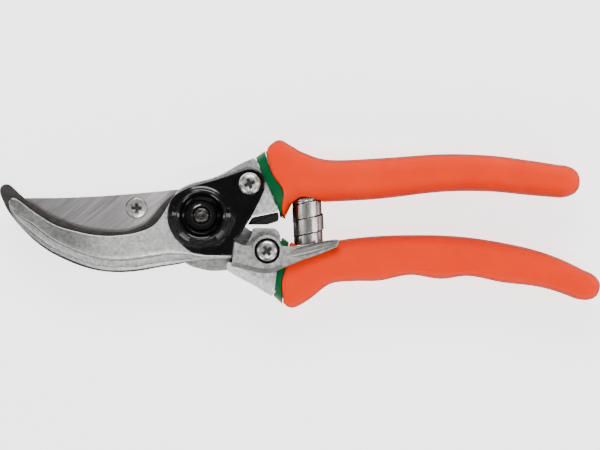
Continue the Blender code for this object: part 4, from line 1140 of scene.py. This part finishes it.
# %% Boss
BOSS_HIGH = ARM_HIGH - 0.5
BOSS_RADIUS = 18.45
BOSS_OUTER = [(8.9, -19.3), (13.3, -21.95), (16.8, -23.7), (20.3, -25.8), (24.7, -28.5)]
BOSS_INNER = [(27.5, -7.7), (26.9, -5.7), (25.4, -4.5), (18.0, -4.35)]
CHAMFER_START = Vector((9.5, -16.2))
CHAMFER_END = Vector((29.0, -27.1))
CHAMFER_SLOPE = 0.8
CHAMFER_REACH = 7.0
CHAMFER_LEAD = 0.6
boss_loop = softened(even(arc(PIVOT, BOSS_RADIUS, -14, -62) + curve(BOSS_OUTER) + BOSS_INNER, 0.35), 3)
boss = plate("blasted_boss", boss_loop, REAR_LOW + 0.4, BOSS_HIGH, boss_light_and_shade, edge=0.4, back_edge=0.4)
chamfer_line = CHAMFER_END - CHAMFER_START
away = Vector((chamfer_line.y, -chamfer_line.x)).normalized()
ends = []
for corner in (CHAMFER_START, CHAMFER_END):
    near = corner - away * CHAMFER_LEAD
    far = corner + away * CHAMFER_REACH
    ends.append([(*near, BOSS_HIGH + CHAMFER_LEAD * CHAMFER_SLOPE),
                 (*far, BOSS_HIGH - CHAMFER_REACH * CHAMFER_SLOPE),
                 (*far, BOSS_HIGH + 3.0), (*near, BOSS_HIGH + 3.0)])
carve(boss, linked("chamfer", mesh_from_loops("chamfer", ends)))
# painted shade: the chamfer takes the darker rim finish
darken(boss, rim_painted_shade, lambda point: (point.xy - CHAMFER_START).dot(away) > -0.05)
print("boss:", len(boss.data.polygons), "faces")

# %% [markdown]
# ## The rear hub
# Behind the boss a thinner plate reaches round the bolt and back to the blade screw. It is joined on
# with the tang, and then the three holes are bored through everything at once, as in a workshop.

# %% Rear hub
HUB_THICKNESS = 3.5
HUB_OUTER = [(-14.0, -9.5), (-8.6, -14.8), (-4.2, -17.75), (-0.7, -18.8), (2.8, -19.5), (6.3, -19.5),
             (9.5, -19.2), (14.0, -20.5), (22.0, -25.0)]
HUB_INNER = [(25.5, -12.0), (24.5, -6.0), (17.0, -5.5)]
rear_loop = softened(even(arc(PIVOT, 11.3, -5, 125, 40) + arc(BLADE_SCREW, 4.6, 100, 250) + curve(HUB_OUTER)
                          + HUB_INNER), 3)
rear = plate("rear_hub", rear_loop, REAR_LOW, REAR_LOW + HUB_THICKNESS, forged, edge=0.3, back_edge=0.3)
carve(boss, rear, "UNION")
carve(boss, tang("lower_tang", LOWER_FRONT, LOWER_SECTIONS, 0.0, 0.6), "UNION")
bore(boss, PIVOT, BOLT_BORE, 12, 0, steps=64)
bore(boss, BLADE_SCREW, SHANK_BORE, 12, 0, steps=48)
bore(boss, CATCH_PIVOT, 2.7, 20, 4.7, steps=48)
darken(boss, blasted, lambda point: point.z < REAR_LOW + HUB_THICKNESS + 0.1)
stands_for(boss, "blade_side", "blade_arm")

# %% [markdown]
# ## The catch
# A small casting. A round hub turns on the screw, the nose hooks over the heel of the cover plate, and
# the tail reaches out for the thumb. Its lower edge is a wide bevel, painted darker as shade because it
# faces away from the light.

# %% Catch
CATCH_NOSE = [(14.9, -10.6), (11.55, -9.15), (10.8, -15.9), (10.05, -17.6)]
CATCH_OUTER = [(13.6, -18.5), (16.6, -19.4), (20.25, -20.1), (23.25, -20.3), (25.65, -19.7), (28.05, -18.5),
               (33.2, -16.4), (36.2, -15.2), (40.75, -13.7), (43.75, -12.5), (46.8, -11.3)]
CATCH_TAIL = [(48.05, -9.6), (47.3, -8.4), (43.7, -8.75), (37.7, -9.95), (34.7, -10.4), (31.7, -10.85),
              (28.6, -10.7)]
BEVEL_PROFILE = [(0.0, 1.5), (0.08, 1.3), (0.3, 1.1), (1.75, 0.2), (2.0, 0.0)]
CATCH_FLAT = CATCH_HIGH - 0.25
around_screw = arc(CATCH_PIVOT, 5.45, 17, 160)
catch_loop = softened(even(CATCH_NOSE + curve(CATCH_OUTER) + curve(CATCH_TAIL) + around_screw, 0.3), 3)
normals = inward(catch_loop)
bevelled = smoothstep(normals[:, 1], 0.4, 0.8) * smoothstep(-catch_loop[:, 1], 10.8, 11.6)
bevelled *= 1.0 - 0.45 * smoothstep(catch_loop[:, 0], 24.0, 32.0)
catch = plate("cast_catch_arm", catch_loop, CATCH_LOW, CATCH_FLAT, blasted, chamfer=(bevelled, BEVEL_PROFILE))
# painted shade on the bevel
darken(catch, catch_painted_shade, lambda point: point.z < CATCH_FLAT - 0.15)
print("catch arm:", len(catch.data.polygons), "faces")

# %% [markdown]
# ### Hub and collar of the catch
# The hub stands a little above the arm, and below it a collar holds the catch off the boss. Both are
# turned and joined on.

# %% Hub and collar
HUB_RADIUS = 5.4
COLLAR_LOW = low("catch")
hub_rim = [(0, CATCH_HIGH), (5.15, CATCH_HIGH), (5.3, CATCH_HIGH - 0.06), (HUB_RADIUS, CATCH_HIGH - 0.2),
           (HUB_RADIUS, CATCH_LOW + 0.2), (0, CATCH_LOW + 0.2)]
collar = [(0, CATCH_LOW + 1), (4.1, CATCH_LOW + 1), (4.1, COLLAR_LOW), (0, COLLAR_LOW)]
carve(catch, turned("hub_rim", hub_rim, CATCH_PIVOT), "UNION")
carve(catch, turned("collar", collar, CATCH_PIVOT), "UNION")
print("catch with its hub:", len(catch.data.polygons), "faces")

# %% [markdown]
# ### Scoop for the thumb
# A long shallow hollow along the tail. A stretched sphere cuts it, which gives the soft pointed ends of
# a hollow milled with a round cutter. Its faces are found again by their place, to paint shade on them.

# %% Scoop
SCOOP_CENTRE = Vector((38.6, -11.6))
SCOOP_TURN = math.radians(15.0)
SCOOP_HALF = (10.4, 1.9, 1.75)
scoop_across = Vector((-math.sin(SCOOP_TURN), math.cos(SCOOP_TURN)))
scoop_size = Vector(SCOOP_HALF) * MM
scoop_place = (Matrix.Translation(Vector((*SCOOP_CENTRE, CATCH_FLAT + 0.8)) * MM)
               @ Matrix.Rotation(SCOOP_TURN, 4, "Z") @ Matrix.Diagonal((*scoop_size, 1.0)))
shaped = bmesh.new()
bmesh.ops.create_uvsphere(shaped, u_segments=64, v_segments=32, radius=1.0, matrix=scoop_place)
carve(catch, linked("scoop", mesh_of("scoop", shaped)))


def in_scoop(point):
    """True for the hollow's surface, between the tail's top and the hollow's floor."""
    beside = abs((point.xy - SCOOP_CENTRE).dot(scoop_across))
    return CATCH_FLAT - 1.2 < point.z < CATCH_FLAT - 0.02 and beside < 1.75 and point.x > 28.0


# painted shade in the scoop
darken(catch, catch_painted_shade, in_scoop)
print("catch with its scoop:", len(catch.data.polygons), "faces")

# %% [markdown]
# ### Seat for the catch's screw
# The screw's head sinks into a seat with a small chamfer. The seat takes the lacquer's black as painted
# shade round the head.

# %% Screw seat
SEAT_RADIUS = 4.3
screw_seat = [(0, CATCH_HIGH + 1), (4.45, CATCH_HIGH + 1), (4.45, CATCH_HIGH - 0.1),
              (SEAT_RADIUS, CATCH_HIGH - 0.3), (SEAT_RADIUS, CATCH_HIGH - SEAT_DEPTH),
              (2.7, CATCH_HIGH - SEAT_DEPTH), (2.7, COLLAR_LOW - 1), (0, COLLAR_LOW - 1)]
carve(catch, turned("screw_seat", screw_seat, CATCH_PIVOT))
# painted shade: the seat takes the black lacquer
darken(catch, lacquer, lambda point: math.dist(point.xy, CATCH_PIVOT) < 4.5 and point.z < CATCH_HIGH - 0.05)
stands_for(catch, "catch", "catch")

# %% [markdown]
# ## Spring seats
# The spring's two ends sit in round seats in the grips. Where they are fixes the spring's axis too, so
# they are named here and used again for the spring.

# %% Spring seats
SEAT_HALF = 6.1
SEAT_LOW = -3.7
SPRING_TOP = Vector((36.6, 6.2))
SPRING_BOTTOM = Vector((37.3, -10.3))


def spring_seat(seat, away):
    """The round seat that a grip has for the spring's end."""
    direction = (SPRING_TOP - SPRING_BOTTOM).normalized() * away
    profile = [(0, 20.0), (SEAT_HALF, 20.0), (SEAT_HALF, SEAT_LOW), (0, SEAT_LOW)]
    tool = turned("spring_seat", profile, PIVOT, steps=64)
    turn = Vector((*direction, 0)).to_track_quat("Z", "Y").to_matrix().to_4x4()
    tool.data.transform(Matrix.Translation(Vector((*seat, GRIP_MIDDLE)) * MM) @ turn)
    return tool


print("between the seats:", round((SPRING_TOP - SPRING_BOTTOM).length, 1), "mm")

# %% [markdown]
# ## Grips
# The grips are dipped, so they have no seams: full and round, with a rolled front lip that bows along
# the handle, shallow finger waves on the lower one and a domed tail. All of that is one row of sections
# for each grip, closed by smaller and smaller ones at both ends. The cavity for the tang and the seat
# for the spring are cut last.

# %% Grips
GRIP_DEPTH = 2 * GRIP_HALF
LIP_DEPTH = 15.2
LIP_FALL = 1.4
ROUNDNESS = 2.5
FULL_AFTER = 24
BOW_REACH = 10
TAIL = 7.2


def make_grip(name, front, sections, bow, seat, away):
    """A grip with its rolled lip, full sections and domed tail, hollow for the tang."""
    close = fine(sections, 6)
    loops = []
    for turn in (0, 20, 40, 60, 80):
        angle = math.radians(turn)
        fall = 1 - math.sin(angle)
        lip = moved_on(drawn_in(close[0], 0.9 * fall), 1.1 * (1 - math.cos(angle)) - 0.05)
        loops.append(ring(lip, LIP_DEPTH - LIP_FALL * fall, ROUNDNESS, bow=bow))
    for i, section in enumerate(close[2:], 2):
        depth = LIP_DEPTH + (GRIP_DEPTH - LIP_DEPTH) * min(1.0, i / FULL_AFTER)
        fade = max(0.0, 1.0 - i / BOW_REACH)
        loops.append(ring(section, depth, ROUNDNESS, bow=(lambda share, fade=fade: bow(share) * fade)))
    for turn in (10, 20, 30, 40, 50, 60, 68, 75, 81, 86):
        angle = math.radians(turn)
        tail = moved_on(close[-1], TAIL * math.sin(angle))
        loops.append(ring(tail, GRIP_DEPTH, ROUNDNESS, math.cos(angle) ** 0.8))
    made = new_piece(name, mesh_from_loops(name, loops), orange, 50, False)
    carve(made, tang("cavity", front, sections, TANG_CLEARANCE, 1.0))
    carve(made, spring_seat(seat, away))
    made.data.set_sharp_from_angle(angle=math.radians(50))
    return made


def upper_bow(share):
    """The upper grip's lip runs ahead most a little below its middle."""
    return 2.5 * np.exp(-((share - 0.62) / 0.2) ** 2)


def lower_bow(share):
    """The lower grip's lip is drawn back below its middle."""
    return -1.2 * np.exp(-((share - 0.66) / 0.26) ** 2)


upper_grip = make_grip("upper_dipped_grip", UPPER_FRONT, UPPER_SECTIONS, upper_bow, SPRING_TOP, -1)
stands_for(upper_grip, "hook_side", "upper_grip")
lower_grip = make_grip("lower_dipped_grip", LOWER_FRONT, LOWER_SECTIONS, lower_bow, SPRING_BOTTOM, 1)
stands_for(lower_grip, "blade_side", "lower_grip")

# %% [markdown]
# ## Collars
# The first dip, in green, reaches further forward than the second one, so it shows as a collar in front
# of each grip. Its front edge is rounded and its back edge follows the grip's lip: the bow changes from
# one to the other on the way.

# %% Collars
COLLAR_FRONT = ((18.45, 20.2), (27.2, -1.1))
COLLAR_DEPTH = 14.4


def front_bow(share):
    """The upper collar's front edge is a little fuller below its middle."""
    return 0.8 * np.exp(-((share - 0.7) / 0.25) ** 2)


def straight(share):
    """The lower collar's front edge is straight."""
    return 0.0 * share


def make_collar(name, front, sections, back_bow, own_bow):
    """The collar of the first dip, from its rounded front edge to the grip's lip."""
    start = moved_on(front, 0.3)
    full = moved_on(start, 0.45)
    back = moved_on(sections[0], -0.25)
    loops = [ring(drawn_in(start, 0.5), 13.4, 2.8, bow=own_bow),
             ring(moved_on(drawn_in(start, 0.12), 0.12), 14.1, 2.7, bow=own_bow),
             ring(full, COLLAR_DEPTH, 2.6, bow=own_bow)]
    for share in (0.4, 0.7, 1.0):

        def mixed(place, share=share):
            return back_bow(place) * share + own_bow(place) * (1 - share)

        loops.append(ring(between(full, back, share), COLLAR_DEPTH, ROUNDNESS, bow=mixed))
    made = new_piece(name, mesh_from_loops(name, loops), green, 50, False)
    carve(made, tang("cavity", front, sections, TANG_CLEARANCE, 1.0))
    return made


upper_collar = make_collar("upper_green_collar", COLLAR_FRONT, UPPER_SECTIONS, upper_bow, front_bow)
stands_for(upper_collar, "hook_side", "upper_band")
lower_collar = make_collar("lower_green_collar", LOWER_FRONT, LOWER_SECTIONS, lower_bow, straight)
stands_for(lower_collar, "blade_side", "lower_band")

# %% [markdown]
# ## Bumper
# A moulded rubber stop, pressed under the upper handle, where the handles would knock together. It is a
# plate like the others, only softened more.

# %% Bumper
BUMPER_CORNERS = [(17.6, -0.75), (26.7, 1.15), (26.95, -0.9), (26.6, -2.1), (22.8, -3.3), (16.0, -3.3)]
bumper_loop = softened(even(BUMPER_CORNERS, 0.2), 5)
bumper = plate("rubber_stop", bumper_loop, low("bumper"), high("bumper"), rubber, edge=0.45, back_edge=0.3)
stands_for(bumper, "hook_side", "bumper")

# %% [markdown]
# ## The spring
# A volute spring is one strip of steel wound into a barrel. The strip's edges nearly meet when the
# shears are shut. Each place on the strip gets its own share between the two handles, but the shares
# are not used: the strip is built in its shut shape and tied to neither handle.

# %% Spring
SPRING_LENGTH = (SPRING_TOP - SPRING_BOTTOM).length
STRIP_WIDTH = 5.25
STRIP_THICKNESS = 0.5
PITCH = 5.5
COIL_RADIUS = 5.08
BARREL = 0.5
EDGE_SOFT = 0.12
OVERRUN = 0.42
START_ANGLE = math.radians(20.0)
STEPS = 640
axis = Vector((*(SPRING_TOP - SPRING_BOTTOM).normalized(), 0.0))
spring_foot = Vector((*SPRING_BOTTOM, GRIP_MIDDLE))
along_axis = Matrix.Translation(spring_foot) @ axis.to_track_quat("Z", "Y").to_matrix().to_4x4()
loops = []
shares = []
for i in range(STEPS + 1):
    t = -OVERRUN + (SPRING_LENGTH / PITCH + 2 * OVERRUN) * i / STEPS
    middle = t * PITCH
    bottom = max(0.0, middle - STRIP_WIDTH / 2)
    top = min(SPRING_LENGTH, middle + STRIP_WIDTH / 2)
    bulge = (smoothstep(middle, SPRING_LENGTH * 0.33, SPRING_LENGTH * 0.42)
             * smoothstep(-middle, -SPRING_LENGTH * 0.67, -SPRING_LENGTH * 0.58))
    outside = COIL_RADIUS + BARREL * bulge
    inside = outside - STRIP_THICKNESS
    angle = START_ANGLE + 2 * math.pi * t
    soft = min(EDGE_SOFT, (top - bottom) / 4)
    shape = [(outside - soft, bottom), (outside, bottom + soft), (outside, top - soft), (outside - soft, top),
             (inside + soft, top), (inside, top - soft), (inside, bottom + soft), (inside + soft, bottom)]
    around = Vector((math.cos(angle), math.sin(angle), 0.0))
    loops.append([along_axis @ (around * out + Vector((0.0, 0.0, up))) for out, up in shape])
    shares += [min(1.0, max(0.0, middle / SPRING_LENGTH))] * len(shape)
spring = new_piece("wound_strip", mesh_from_loops("wound_strip", loops), bright, 50)
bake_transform(spring)
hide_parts("volute_spring")
print("spring:", len(spring.data.polygons), "faces")

# %% [markdown]
# ## Small hidden pieces
# The rivets, the washer and the spring's pegs keep the shapes that the working model has, and only
# take a finish.

# %% Small hidden pieces
for node in ("hook_rivet_1", "hook_rivet_2", "catch_washer", "upper_spring_peg", "lower_spring_peg"):
    for material_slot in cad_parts[node].material_slots:
        material_slot.material = zinc.material
    print(node, "in zinc")
